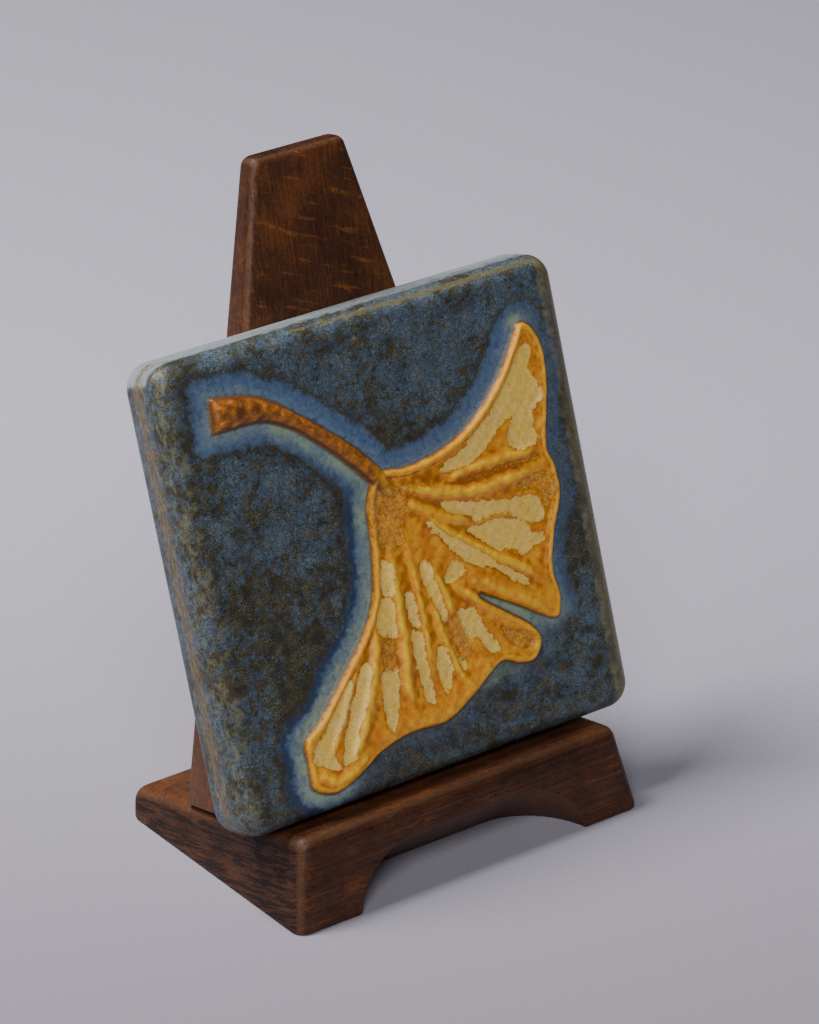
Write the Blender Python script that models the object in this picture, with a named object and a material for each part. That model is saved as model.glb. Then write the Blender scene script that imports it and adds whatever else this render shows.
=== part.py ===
"""A four-inch ceramic tile with a ginkgo leaf in relief, leaning on a two-piece oak easel.

Blender 4.5, metres, +Z up, the tile facing -Y. The tile stands with its lower back edge on the easel's
sloped base and leans with its upper back edge on the easel's upright. The origin is under the middle of
the whole, on the surface that it stands on.
"""

import math

import bmesh
import bpy
from mathutils import Matrix, Vector

# Tile
TILE_WIDTH = 0.1016
TILE_HEIGHT = 0.1001
TILE_THICKNESS = 0.0127
TILE_CORNER_RADIUS = 0.0055
TILE_FRONT_RADIUS = 0.0040
TILE_BACK_RADIUS = 0.0020

# Leaf in relief. It is drawn in 82nds of its span, upright, with its middle at LEAF_MIDDLE.
LEAF_SPAN = 0.0820
LEAF_UNIT = LEAF_SPAN / 82
LEAF_MIDDLE = (0.0, 48.3)
LEAF_DROP = 0.00245
LEAF_FLOOR = 0.0012
LEAF_SUNK = 0.0010
RIM_RADIUS = 0.0014
RIM_CREST = 0.0023
VEIN_RADIUS = 0.0014
VEIN_CREST = 0.0023
VEIN_TIP_RADIUS = 0.0008
VEIN_TIP_CREST = 0.0015
STEM_CREST = 0.0030
CURVE_STEPS = 2

LEAF_UPPER_MARGIN = [
    (-3.4, 66.6),
    (3.8, 66.0),
    (11.3, 66.8),
    (18.8, 69.2),
    (26.0, 73.9),
    (31.8, 79.4),
    (36.2, 85.4),
]
LEAF_TIP = [(38.4, 88.0), (41.4, 86.4), (43.2, 81.4), (42.9, 75.0), (41.4, 68.4)]
LEAF_RIGHT_MARGIN = [(39.6, 61.0), (40.7, 56.6), (40.6, 50.0), (37.4, 42.8), (35.2, 35.4)]
LEAF_UPPER_LOBE = [(36.0, 29.4), (34.5, 24.6), (30.6, 26.0), (24.7, 29.9)]
LEAF_SLIT_END = [(16.4, 34.8), (16.6, 33.6)]
LEAF_LOWER_LOBE = [(22.4, 28.9), (27.4, 24.8), (29.0, 21.0), (26.4, 17.4), (22.4, 17.8), (18.2, 19.4)]
LEAF_LOWER_MARGIN = [(14.0, 17.2), (8.7, 14.0), (1.7, 11.1), (-7.3, 11.4), (-15.6, 9.8), (-22.4, 6.4)]
LEAF_CORNER_LOBE = [(-28.8, 4.9), (-33.6, 7.4), (-33.6, 12.4), (-33.4, 17.4)]
LEAF_LEFT_MARGIN = [
    (-28.6, 21.0),
    (-20.6, 28.8),
    (-14.6, 35.0),
    (-10.8, 41.0),
    (-9.0, 48.0),
    (-8.0, 55.0),
    (-7.2, 61.6),
]
LEAF_OUTLINE = (
    LEAF_UPPER_MARGIN
    + LEAF_TIP
    + LEAF_RIGHT_MARGIN
    + LEAF_UPPER_LOBE
    + LEAF_SLIT_END
    + LEAF_LOWER_LOBE
    + LEAF_LOWER_MARGIN
    + LEAF_CORNER_LOBE
    + LEAF_LEFT_MARGIN
)
LEAF_VEINS = {
    "upper": [(13.5, 61.2), (22.5, 61.5), (33.0, 61.2)],
    "long upper": [(3.5, 61.3), (10.0, 58.9), (18.0, 56.9), (28.0, 56.9), (38.0, 57.7)],
    "branch": [(1.8, 59.2), (6.4, 55.9), (12.0, 52.5), (16.4, 51.2)],
    "middle": [(5.5, 55.0), (11.5, 49.3), (19.0, 43.2), (25.8, 38.9), (31.5, 34.0)],
    "short": [(4.4, 44.4), (6.6, 38.4), (7.8, 32.4)],
    "thin": [(-0.1, 50.2), (0.4, 40.2), (0.3, 29.2)],
    "spine": [(-4.4, 49.2), (-5.0, 40.2), (-5.3, 31.2), (-6.5, 22.2)],
    "right low": [(3.4, 35.7), (4.3, 28.2), (6.5, 20.2)],
    "left": [(-11.6, 34.6), (-13.9, 27.2), (-16.6, 21.0), (-20.4, 14.2)],
    "left outer": [(-18.0, 29.0), (-21.7, 22.7), (-25.7, 16.4)],
}
# Centre line of the stem from its cut end to the leaf, and its half width at each point
LEAF_STEM = [
    (-39.4, 87.8, 3.9),
    (-35.5, 87.2, 3.8),
    (-31.0, 86.8, 3.5),
    (-26.0, 85.2, 2.5),
    (-20.0, 81.3, 1.6),
    (-14.5, 76.8, 2.0),
    (-9.5, 71.5, 2.8),
    (-4.5, 65.6, 2.8),
    (-2.0, 61.5, 1.8),
]

# Easel, both pieces square to each other and leaning back together
EASEL_LEAN = math.radians(12.75)
BASE_WIDTH = 0.0902
BASE_DEPTH = 0.0631
BASE_FRONT_HEIGHT = 0.0204
BASE_SIDE_SLOPE = math.radians(10.9)
BASE_EDGE_RADIUS = 0.0030
BASE_FOOT_RADIUS = 0.0008
ARCH_WIDTH = 0.0592
ARCH_RISE = 0.0134
ARCH_RADIUS = 0.0170
ARCH_SHIFT = 0.0006
ARCH_CUT_ANGLE = math.radians(47.0)
ARCH_STEPS = 6
UPRIGHT_LENGTH = 0.1338
UPRIGHT_TOP_WIDTH = 0.0232
UPRIGHT_FOOT_THICKNESS = 0.0142
UPRIGHT_TOP_THICKNESS = 0.0057
UPRIGHT_SETBACK = 0.0269
UPRIGHT_EDGE_RADIUS = 0.0020

# How far in front of the upright the tile's lower back edge stands
TILE_STANDOFF = 0.0098
CLEARANCE = 0.0003

# Coordinates closer than this are the same
TOLERANCE = 1e-6
SMOOTH_ANGLE = math.radians(35.0)

FINISHES = {
    "mottled_glaze": {"color": (0.085, 0.125, 0.190, 1.0), "roughness": 0.38},
    "oak_base": {"color": (0.150, 0.060, 0.030, 1.0), "roughness": 0.42},
    "oak_upright": {"color": (0.190, 0.075, 0.035, 1.0), "roughness": 0.42},
}


def clear_scene():
    """Remove every object that the new file holds."""
    for item in list(bpy.data.objects):
        bpy.data.objects.remove(item, do_unlink=True)


def new_collection(name):
    """Make a collection in the scene."""
    made = bpy.data.collections.new(name)
    bpy.context.scene.collection.children.link(made)
    return made


def new_material(name):
    """Make a Principled material from its row in FINISHES."""
    finish = FINISHES[name]
    made = bpy.data.materials.new(name)
    made.use_nodes = True
    shader = made.node_tree.nodes["Principled BSDF"]
    shader.inputs["Base Color"].default_value = finish["color"]
    shader.inputs["Roughness"].default_value = finish["roughness"]
    shader.inputs["Metallic"].default_value = 0.0
    made.diffuse_color = finish["color"]
    return made


def new_object(name, mesh, collection):
    """Put a mesh into the scene as an object."""
    made = bpy.data.objects.new(name, mesh)
    collection.objects.link(made)
    return made


def mesh_from(work, name):
    """Turn a working bmesh into a mesh with its faces pointing out, its rounded edges shaded smooth."""
    bmesh.ops.recalc_face_normals(work, faces=work.faces)
    mesh = bpy.data.meshes.new(name)
    work.to_mesh(mesh)
    work.free()
    mesh.shade_smooth()
    mesh.set_sharp_from_angle(angle=SMOOTH_ANGLE)
    return mesh


def make_cutter(item):
    """Keep an object out of the render and show it as wires."""
    item.hide_render = True
    item.display_type = "WIRE"


def box_mesh(size, centre):
    """A working box of the given size, from a cube primitive."""
    work = bmesh.new()
    bmesh.ops.create_cube(work, size=1.0)
    bmesh.ops.scale(work, verts=work.verts, vec=size)
    bmesh.ops.translate(work, verts=work.verts, vec=centre)
    return work


def round_edges(work, chosen, radius, segments):
    """Bevel the edges for which chosen(middle, direction) holds."""
    edges = []
    for edge in work.edges:
        start, end = (vert.co for vert in edge.verts)
        if chosen((start + end) / 2, (end - start).normalized()):
            edges.append(edge)
    bmesh.ops.bevel(
        work, geom=edges, offset=radius, segments=segments, affect="EDGES", profile=0.5, clamp_overlap=True
    )


def saw(work, point, normal):
    """Cut off what lies beyond a plane and close the cut."""
    everything = list(work.verts) + list(work.edges) + list(work.faces)
    cut = bmesh.ops.bisect_plane(work, geom=everything, plane_co=point, plane_no=normal, clear_outer=True)
    edges = [part for part in cut["geom_cut"] if isinstance(part, bmesh.types.BMEdge)]
    bmesh.ops.edgeloop_fill(work, edges=edges)


def smooth_line(points, closed):
    """Points of a Catmull-Rom curve through the given points, CURVE_STEPS to a stretch."""
    line = [Vector(point) for point in points]
    count = len(line)
    stretches = count if closed else count - 1
    found = []
    for i in range(stretches):
        start, end = line[i], line[(i + 1) % count]
        before = line[i - 1] if closed or i else 2 * start - end
        after = line[(i + 2) % count] if closed or i + 2 < count else 2 * end - start
        for step in range(CURVE_STEPS):
            t = step / CURVE_STEPS
            bend = (2 * before - 5 * start + 4 * end - after) * t**2
            twist = (3 * start - before - 3 * end + after) * t**3
            found.append((2 * start + (end - before) * t + bend + twist) / 2)
    if not closed:
        found.append(line[-1])
    return found


def inset(outline, distance):
    """Move each point of a clockwise outline inwards by a distance."""
    moved = []
    for i, point in enumerate(outline):
        along = outline[(i + 1) % len(outline)] - outline[i - 1]
        inward = Vector((along.y, -along.x)).normalized()
        moved.append(point + inward * distance)
    return moved


def curve_mesh(name, curve):
    """The closed mesh of a curve, with its caps welded on."""
    holder = bpy.data.objects.new(name, curve)
    bpy.context.scene.collection.objects.link(holder)
    bpy.context.view_layer.update()
    evaluated = holder.evaluated_get(bpy.context.evaluated_depsgraph_get())
    mesh = bpy.data.meshes.new_from_object(evaluated)
    bpy.data.objects.remove(holder, do_unlink=True)
    work = bmesh.new()
    work.from_mesh(mesh)
    bpy.data.meshes.remove(mesh)
    bmesh.ops.remove_doubles(work, verts=work.verts, dist=TOLERANCE)
    return mesh_from(work, name)


def flat_outline(name, points, thickness):
    """A flat plate in the XY plane, thickness deep about it."""
    curve = bpy.data.curves.new(name, "CURVE")
    curve.dimensions = "2D"
    curve.fill_mode = "BOTH"
    curve.extrude = thickness / 2
    spline = curve.splines.new("POLY")
    spline.points.add(len(points) - 1)
    for place, point in zip(spline.points, points):
        place.co = (point[0], point[1], 0.0, 1.0)
    spline.use_cyclic_u = True
    return curve_mesh(name, curve)


def round_ridge(name, points, radii, depths, closed=False):
    """A round rod through flat points, its centre below the crest that it leaves."""
    curve = bpy.data.curves.new(name, "CURVE")
    curve.dimensions = "3D"
    curve.bevel_depth = 1.0
    curve.bevel_resolution = 2
    curve.use_fill_caps = not closed
    spline = curve.splines.new("POLY")
    spline.points.add(len(points) - 1)
    for place, point, radius, depth in zip(spline.points, points, radii, depths):
        place.co = (point[0], point[1], depth, 1.0)
        place.radius = radius
    spline.use_cyclic_u = closed
    return curve_mesh(name, curve)


def on_tile(mesh):
    """Stand a relief that was drawn flat, facing +Z, on the tile's front face, facing -Y."""
    across, rise = LEAF_MIDDLE
    centred = Matrix.Translation((-across * LEAF_UNIT, -rise * LEAF_UNIT, 0.0))
    raised = Matrix.Translation((0.0, 0.0, TILE_HEIGHT / 2 - LEAF_DROP))
    mesh.transform(raised @ Matrix.Rotation(math.radians(90.0), 4, "X") @ centred)


def leaf_plate():
    """The floor of the leaf, between its veins, sunk a little into the tile."""
    outline = [point * LEAF_UNIT for point in smooth_line(LEAF_OUTLINE, closed=True)]
    mesh = flat_outline("leaf plate", inset(outline, RIM_RADIUS), LEAF_FLOOR + LEAF_SUNK)
    mesh.transform(Matrix.Translation((0.0, 0.0, (LEAF_FLOOR - LEAF_SUNK) / 2)))
    return mesh


def leaf_rim():
    """The raised round edge of the leaf."""
    outline = [point * LEAF_UNIT for point in smooth_line(LEAF_OUTLINE, closed=True)]
    line = inset(outline, RIM_RADIUS)
    radii = [RIM_RADIUS] * len(line)
    depths = [RIM_CREST - RIM_RADIUS] * len(line)
    return round_ridge("leaf rim", line, radii, depths, closed=True)


def leaf_vein(name):
    """One vein, a low round ridge that grows thinner and lower to its tip."""
    line = [point * LEAF_UNIT for point in smooth_line(LEAF_VEINS[name], closed=False)]
    shares = [step / (len(line) - 1) for step in range(len(line))]
    radii = [VEIN_RADIUS + (VEIN_TIP_RADIUS - VEIN_RADIUS) * share for share in shares]
    crests = [VEIN_CREST + (VEIN_TIP_CREST - VEIN_CREST) * share for share in shares]
    depths = [crest - radius for crest, radius in zip(crests, radii)]
    return round_ridge("leaf vein " + name, line, radii, depths)


def leaf_stem():
    """The stem, thick at its cut end and thin in the middle, half sunk into the tile."""
    line = smooth_line(LEAF_STEM, closed=False)
    places = [Vector((point.x, point.y)) * LEAF_UNIT for point in line]
    radii = [point.z * LEAF_UNIT for point in line]
    thickest = max(radii)
    crests = [STEM_CREST * math.sqrt(radius / thickest) for radius in radii]
    depths = [min(crest - radius, 0.0) for crest, radius in zip(crests, radii)]
    return round_ridge("leaf stem", places, radii, depths)


def join_reliefs(target, meshes):
    """Unite a target with every mesh of a relief, all in one Boolean."""
    reliefs = new_collection("leaf_relief")
    for mesh in meshes:
        on_tile(mesh)
        helper = new_object(mesh.name, mesh, reliefs)
        helper.parent = target
        make_cutter(helper)
    union = target.modifiers.new("leaf relief", "BOOLEAN")
    union.operation = "UNION"
    union.solver = "EXACT"
    union.use_self = True
    union.operand_type = "COLLECTION"
    union.collection = reliefs


def tile_slab():
    """The tile without its leaf: its front face in the XZ plane, standing on its bottom edge."""
    size = (TILE_WIDTH, TILE_THICKNESS, TILE_HEIGHT)
    work = box_mesh(size, (0.0, TILE_THICKNESS / 2, TILE_HEIGHT / 2))
    round_edges(work, lambda middle, along: abs(along.y) > 1 - TOLERANCE, TILE_CORNER_RADIUS, 4)
    back = TILE_THICKNESS - TOLERANCE
    round_edges(work, lambda middle, along: middle.y < TOLERANCE, TILE_FRONT_RADIUS, 4)
    round_edges(work, lambda middle, along: middle.y > back, TILE_BACK_RADIUS, 2)
    return mesh_from(work, "tile")


def easel_axis():
    """Unit vectors up along the easel's upright and back along its base."""
    up = Vector((0.0, math.sin(EASEL_LEAN), math.cos(EASEL_LEAN)))
    back = Vector((0.0, math.cos(EASEL_LEAN), -math.sin(EASEL_LEAN)))
    return up, back


def upright_foot():
    """Middle of the upright's front bottom edge, on the base's sloped top."""
    up, back = easel_axis()
    return up * BASE_FRONT_HEIGHT + back * UPRIGHT_SETBACK


def upright_foot_width():
    """Width of the upright's foot, whose back corners are flush with the base's splayed ends."""
    back = easel_axis()[1]
    corner = upright_foot() + back * UPRIGHT_FOOT_THICKNESS
    return BASE_WIDTH - 2 * corner.z * math.tan(BASE_SIDE_SLOPE)


def easel_base():
    """The wedge that carries the tile, sawn from a block: sloped top, raked front and back, splayed ends."""
    up, back = easel_axis()
    waste = 2 * BASE_FRONT_HEIGHT
    work = box_mesh((BASE_WIDTH + waste, BASE_DEPTH + waste, waste), (0.0, BASE_DEPTH / 2, waste / 2))
    saw(work, (0.0, 0.0, 0.0), -back)
    saw(work, (0.0, BASE_DEPTH, 0.0), back)
    saw(work, up * BASE_FRONT_HEIGHT, up)
    for side in (-1, 1):
        outward = (side * math.cos(BASE_SIDE_SLOPE), 0.0, math.sin(BASE_SIDE_SLOPE))
        saw(work, (side * BASE_WIDTH / 2, 0.0, 0.0), outward)
    round_edges(work, lambda middle, along: middle.z > TOLERANCE, BASE_EDGE_RADIUS, 3)
    round_edges(work, lambda middle, along: middle.z < TOLERANCE, BASE_FOOT_RADIUS, 1)
    return mesh_from(work, "easel_base")


def arch_outline(cut_share):
    """Half-round shoulders and a flat crown, as the slanting saw sees them."""
    drop = math.sqrt(ARCH_RADIUS**2 - (ARCH_RADIUS - ARCH_RISE) ** 2)
    shoulder = ARCH_WIDTH / 2 - drop
    start = math.acos((ARCH_RADIUS - ARCH_RISE) / ARCH_RADIUS)
    right = []
    for step in range(ARCH_STEPS + 1):
        turn = start * (1 - step / ARCH_STEPS)
        rise = ARCH_RADIUS * math.cos(turn) - ARCH_RADIUS + ARCH_RISE
        right.append((shoulder + ARCH_RADIUS * math.sin(turn), rise * cut_share))
    right.insert(0, (right[0][0], -ARCH_RISE))
    left = [(-across, rise) for across, rise in reversed(right)]
    return [(across + ARCH_SHIFT, rise) for across, rise in right + left]


def arch_cutter():
    """The slanting cut that leaves two front feet: its outline pushed down and back through the wood."""
    cut_share = math.cos(ARCH_CUT_ANGLE - EASEL_LEAN)
    reach = (ARCH_RISE + BASE_FRONT_HEIGHT) / math.sin(ARCH_CUT_ANGLE)
    mesh = flat_outline("arch cut", arch_outline(cut_share), 2 * reach)
    mesh.transform(Matrix.Rotation(math.radians(90.0) - ARCH_CUT_ANGLE, 4, "X"))
    return mesh


def easel_upright():
    """The tapered board that the tile leans on: flat front, thinner and narrower to the top."""
    foot_width = upright_foot_width()
    size = (foot_width, UPRIGHT_FOOT_THICKNESS, UPRIGHT_LENGTH)
    work = box_mesh(size, (0.0, UPRIGHT_FOOT_THICKNESS / 2, UPRIGHT_LENGTH / 2))
    for vert in work.verts:
        if vert.co.z > UPRIGHT_LENGTH / 2:
            vert.co.x *= UPRIGHT_TOP_WIDTH / foot_width
            vert.co.y *= UPRIGHT_TOP_THICKNESS / UPRIGHT_FOOT_THICKNESS
    round_edges(work, lambda middle, along: middle.z > TOLERANCE, UPRIGHT_EDGE_RADIUS, 3)
    return mesh_from(work, "easel_upright")


def tile_pose():
    """Where the tile's front bottom edge lies, and how far the tile leans back.

    The centres of the two rounded back edges give both: the lower one stands its radius above the base's
    top, the upper one its radius in front of the upright.
    """
    up, back = easel_axis()
    reach = TILE_BACK_RADIUS + CLEARANCE
    lower = upright_foot() + up * reach - back * (TILE_STANDOFF + TILE_BACK_RADIUS)
    extra = math.asin((TILE_STANDOFF - CLEARANCE) / (TILE_HEIGHT - 2 * TILE_BACK_RADIUS))
    lean = EASEL_LEAN + extra
    along = Vector((0.0, math.sin(lean), math.cos(lean)))
    inward = Vector((0.0, math.cos(lean), -math.sin(lean)))
    corner = lower - along * TILE_BACK_RADIUS - inward * (TILE_THICKNESS - TILE_BACK_RADIUS)
    return corner, lean


def bounds(items):
    """Lowest and highest corner of some objects as the viewport shows them."""
    graph = bpy.context.evaluated_depsgraph_get()
    corners = []
    for item in items:
        evaluated = item.evaluated_get(graph)
        mesh = evaluated.to_mesh()
        corners += [evaluated.matrix_world @ vert.co for vert in mesh.vertices]
        evaluated.to_mesh_clear()
    low = Vector([min(corner[axis] for corner in corners) for axis in range(3)])
    high = Vector([max(corner[axis] for corner in corners) for axis in range(3)])
    return low, high


def stand_on_origin(carrier, pieces):
    """Move everything so that the origin is under the middle of the whole."""
    bpy.context.view_layer.update()
    low, high = bounds(pieces)
    carrier.location -= Vector(((low.x + high.x) / 2, (low.y + high.y) / 2, low.z))
    bpy.context.view_layer.update()


def build():
    """Make the three pieces and set them in place."""
    clear_scene()
    parts = new_collection("decorative_tile")
    cutters = new_collection("cutters")
    carrier = bpy.data.objects.new("easel_frame", None)
    parts.objects.link(carrier)

    base = new_object("easel_base", easel_base(), parts)
    arch = new_object("arch cut", arch_cutter(), cutters)
    make_cutter(arch)
    cut = base.modifiers.new("arch cut", "BOOLEAN")
    cut.operation = "DIFFERENCE"
    cut.solver = "EXACT"
    cut.object = arch

    up, back = easel_axis()
    upright = new_object("easel_upright", easel_upright(), parts)
    upright.location = upright_foot() + up * CLEARANCE
    upright.rotation_euler.x = -EASEL_LEAN

    tile = new_object("tile", tile_slab(), parts)
    tile.location, lean = tile_pose()
    tile.rotation_euler.x = -lean
    join_reliefs(tile, [leaf_plate(), leaf_rim(), leaf_stem()] + [leaf_vein(name) for name in LEAF_VEINS])

    finishes = {tile: "mottled_glaze", base: "oak_base", upright: "oak_upright"}
    for piece, finish in finishes.items():
        piece.data.materials.append(new_material(finish))
        piece.parent = carrier
    arch.parent = carrier
    stand_on_origin(carrier, [tile, base, upright])


build()
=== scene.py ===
"""A four-inch ginkgo leaf tile on its oak easel, dressed and lit for a picture.

Lengths are in metres in the row frame, except that the tile's face is drawn in millimetres: u runs across
from the middle, v up from the bottom edge, and w back from the front face.
"""

import logging
import math
from dataclasses import dataclass, field
from enum import Enum

import bpy
import numpy as np
from mathutils import Matrix, Vector


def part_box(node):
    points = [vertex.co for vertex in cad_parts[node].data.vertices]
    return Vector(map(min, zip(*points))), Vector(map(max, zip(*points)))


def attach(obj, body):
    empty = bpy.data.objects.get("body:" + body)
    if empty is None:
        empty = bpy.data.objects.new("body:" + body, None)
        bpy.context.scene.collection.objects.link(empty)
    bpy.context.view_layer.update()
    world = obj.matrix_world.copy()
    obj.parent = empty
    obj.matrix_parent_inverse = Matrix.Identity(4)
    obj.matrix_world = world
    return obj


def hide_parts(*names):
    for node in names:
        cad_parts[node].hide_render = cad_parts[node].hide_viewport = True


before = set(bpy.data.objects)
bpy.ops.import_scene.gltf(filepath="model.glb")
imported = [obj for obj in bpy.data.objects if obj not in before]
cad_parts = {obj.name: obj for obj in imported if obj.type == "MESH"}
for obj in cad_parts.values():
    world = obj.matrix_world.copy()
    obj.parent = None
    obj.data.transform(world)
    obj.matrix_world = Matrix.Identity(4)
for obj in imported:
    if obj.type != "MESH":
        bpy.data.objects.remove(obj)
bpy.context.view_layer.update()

ROOT = "root"
MM = 0.001
# The hair of air that is left where two pieces rest on each other, in metres.
CLEARANCE = 0.0003
# How near a level an edge or a face lies to count as on it, in metres.
TOUCH = 1e-5
# The widest turn between two faces that still looks rounded.
SMOOTH_ANGLE = math.radians(35.0)
# What the glaze reads away from every pool, and on the sides and back away from the leaf, in mm.
NO_POOL = -6.0
OPEN_FIELD = 20.0

log = logging.getLogger("ginkgo tile")

Point = tuple[float, float]
Line = list[Point]


def linear(red: int, green: int, blue: int) -> tuple[float, float, float, float]:
    """Turn a screen colour of 0 to 255 into the linear colour that shaders take.

    Args:
        red: Red as a screen shows it.
        green: Green as a screen shows it.
        blue: Blue as a screen shows it.

    Returns:
        The colour with an alpha of one.
    """
    shares = [value / 255 for value in (red, green, blue)]
    lit = [share / 12.92 if share <= 0.04045 else ((share + 0.055) / 1.055) ** 2.4 for share in shares]
    return (lit[0], lit[1], lit[2], 1.0)


class Value:
    """A number that a shader works out, with Python's operators for its maths."""

    def __init__(self, graph: "Graph", socket: bpy.types.NodeSocket) -> None:
        """Keep the socket and the graph that it belongs to."""
        self.graph = graph
        self.socket = socket

    def _math(self, operation: str, *terms: "Value | float") -> "Value":
        """Add one Math node.

        Args:
            operation: The node's operation.
            terms: Its inputs in order.

        Returns:
            The node's result.
        """
        inputs = dict(enumerate(terms))
        made = self.graph.node("ShaderNodeMath", {"operation": operation}, inputs)
        return Value(self.graph, made.outputs[0])

    def __add__(self, other: "Value | float") -> "Value":
        """Return the sum."""
        return self._math("ADD", self, other)

    def __radd__(self, other: float) -> "Value":
        """Return the sum, with a number on the left."""
        return self._math("ADD", other, self)

    def __sub__(self, other: "Value | float") -> "Value":
        """Return the difference."""
        return self._math("SUBTRACT", self, other)

    def __rsub__(self, other: float) -> "Value":
        """Return the difference, with a number on the left."""
        return self._math("SUBTRACT", other, self)

    def __mul__(self, other: "Value | float") -> "Value":
        """Return the product."""
        return self._math("MULTIPLY", self, other)

    def __rmul__(self, other: float) -> "Value":
        """Return the product, with a number on the left."""
        return self._math("MULTIPLY", other, self)

    def step(self, low: float, high: float) -> "Value":
        """Rise smoothly from 0 at one value to 1 at another.

        Args:
            low: Where the rise starts.
            high: Where it ends. It may be the smaller one, and then the result falls.

        Returns:
            A value from 0 to 1.
        """
        if low > high:
            return 1.0 - self.step(high, low)
        settings = {"interpolation_type": "SMOOTHSTEP"}
        inputs = {"Value": self, "From Min": low, "From Max": high}
        return Value(self.graph, self.graph.node("ShaderNodeMapRange", settings, inputs).outputs["Result"])


Shade = bpy.types.NodeSocket | tuple[float, float, float, float]


class Graph:
    """The shader graph of one material."""

    def __init__(self, name: str) -> None:
        """Make a material with only its Principled shader and output.

        Args:
            name: The material's name.
        """
        self.material = bpy.data.materials.new(name)
        self.material.use_nodes = True
        self.tree = self.material.node_tree
        self.shader = self.tree.nodes["Principled BSDF"]

    def node(self, kind: str, settings: dict | None = None, inputs: dict | None = None) -> bpy.types.Node:
        """Add a node.

        Args:
            kind: The node's type.
            settings: Its own properties, set before its sockets.
            inputs: A value or a link for each of its sockets, by name or number.

        Returns:
            The node.
        """
        made = self.tree.nodes.new(kind)
        for name, value in (settings or {}).items():
            setattr(made, name, value)
        for name, value in (inputs or {}).items():
            self.feed(made.inputs[name], value)
        return made

    def feed(self, socket: bpy.types.NodeSocket, value: object) -> None:
        """Link a socket to a value or set it.

        Args:
            socket: The socket that takes it.
            value: A Value, another node's socket, a number, a colour or a vector.
        """
        if isinstance(value, Value):
            value = value.socket
        if isinstance(value, bpy.types.NodeSocket):
            self.tree.links.new(value, socket)
        else:
            socket.default_value = value

    def attribute(self, name: str) -> Value:
        """Return a number that the mesh carries at each vertex."""
        return Value(self, self.node("ShaderNodeAttribute", {"attribute_name": name}).outputs["Fac"])

    def places(self, name: str) -> bpy.types.NodeSocket:
        """Return a place that the mesh carries at each vertex."""
        return self.node("ShaderNodeAttribute", {"attribute_name": name}).outputs["Vector"]

    def stretched(
        self, places: bpy.types.NodeSocket, lengths: tuple, turn: tuple = (0.0, 0.0, 0.0)
    ) -> bpy.types.NodeSocket:
        """Turn and stretch the space that a pattern is read in.

        Args:
            places: The places before, in mm.
            lengths: How many mm one unit of the pattern fills along each turned axis.
            turn: Rotation about each axis in degrees.

        Returns:
            The places after.
        """
        angles = tuple(math.radians(angle) for angle in turn)
        inputs = {"Vector": places, "Scale": lengths, "Rotation": angles}
        return self.node("ShaderNodeMapping", {"vector_type": "TEXTURE"}, inputs).outputs[0]

    def stirred(self, places: bpy.types.NodeSocket, scale: float, reach: float) -> bpy.types.NodeSocket:
        """Push places about by a noise, so that what is read there has ragged edges.

        Args:
            places: The places before.
            scale: The noise's clouds to a unit.
            reach: How far it pushes at most.

        Returns:
            The places after.
        """
        inputs = {"Vector": places, "Scale": scale, "Detail": 3.0, "Roughness": 0.6}
        push = self.node("ShaderNodeTexNoise", {}, inputs).outputs["Color"]
        kind = "ShaderNodeVectorMath"
        centred = self.node(kind, {"operation": "SUBTRACT"}, {0: push, 1: (0.5, 0.5, 0.5)}).outputs[0]
        scaled = self.node(kind, {"operation": "SCALE"}, {0: centred, "Scale": reach}).outputs[0]
        return self.node(kind, {"operation": "ADD"}, {0: places, 1: scaled}).outputs[0]

    def noise(
        self,
        places: bpy.types.NodeSocket,
        scale: float,
        detail: float = 4.0,
        rough: float = 0.55,
        warp: float = 0.0,
    ) -> Value:
        """Read a cloudy noise.

        Args:
            places: Where it is read.
            scale: Its clouds to a unit.
            detail: Its finer layers.
            rough: How strong the finer layers are.
            warp: How far it is distorted.

        Returns:
            A value about 0.5.
        """
        inputs = {"Vector": places, "Scale": scale, "Detail": detail, "Roughness": rough, "Distortion": warp}
        return Value(self, self.node("ShaderNodeTexNoise", {}, inputs).outputs[0])

    def cells(self, places: bpy.types.NodeSocket, scale: float, feature: str = "F1") -> Value:
        """Return the distance to the nearest of many scattered points, or to what else the feature names."""
        made = self.node("ShaderNodeTexVoronoi", {"feature": feature}, {"Vector": places, "Scale": scale})
        return Value(self, made.outputs["Distance"])

    def seams(self, places: bpy.types.NodeSocket, scale: float) -> Value:
        """Return how far places lie from the seams between irregular cells, 0 on a seam."""
        return self.cells(places, scale, "DISTANCE_TO_EDGE")

    def mix(self, share: Value | float, under: Shade, over: Shade) -> bpy.types.NodeSocket:
        """Lay one colour over another.

        Args:
            share: How much of the upper colour shows.
            under: The lower colour.
            over: The upper colour.

        Returns:
            The mixed colour.
        """
        made = self.node("ShaderNodeMix", {"data_type": "RGBA", "clamp_factor": True})
        self.feed(made.inputs[0], share)
        self.feed(made.inputs[6], under)
        self.feed(made.inputs[7], over)
        return made.outputs[2]

    def finish(
        self, colour: Shade, roughness: Value, heights: list[tuple[Value, float]]
    ) -> bpy.types.Material:
        """Feed the shader.

        Args:
            colour: The surface's colour.
            roughness: Its roughness.
            heights: Fine reliefs, each with its depth in metres.

        Returns:
            The finished material.
        """
        self.feed(self.shader.inputs["Base Color"], colour)
        self.feed(self.shader.inputs["Roughness"], roughness)
        normal = None
        for height, depth in heights:
            inputs = {"Height": height, "Distance": depth, "Strength": 1.0}
            if normal is not None:
                inputs["Normal"] = normal
            normal = self.node("ShaderNodeBump", {}, inputs).outputs[0]
        if normal is not None:
            self.feed(self.shader.inputs["Normal"], normal)
        return self.material


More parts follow.
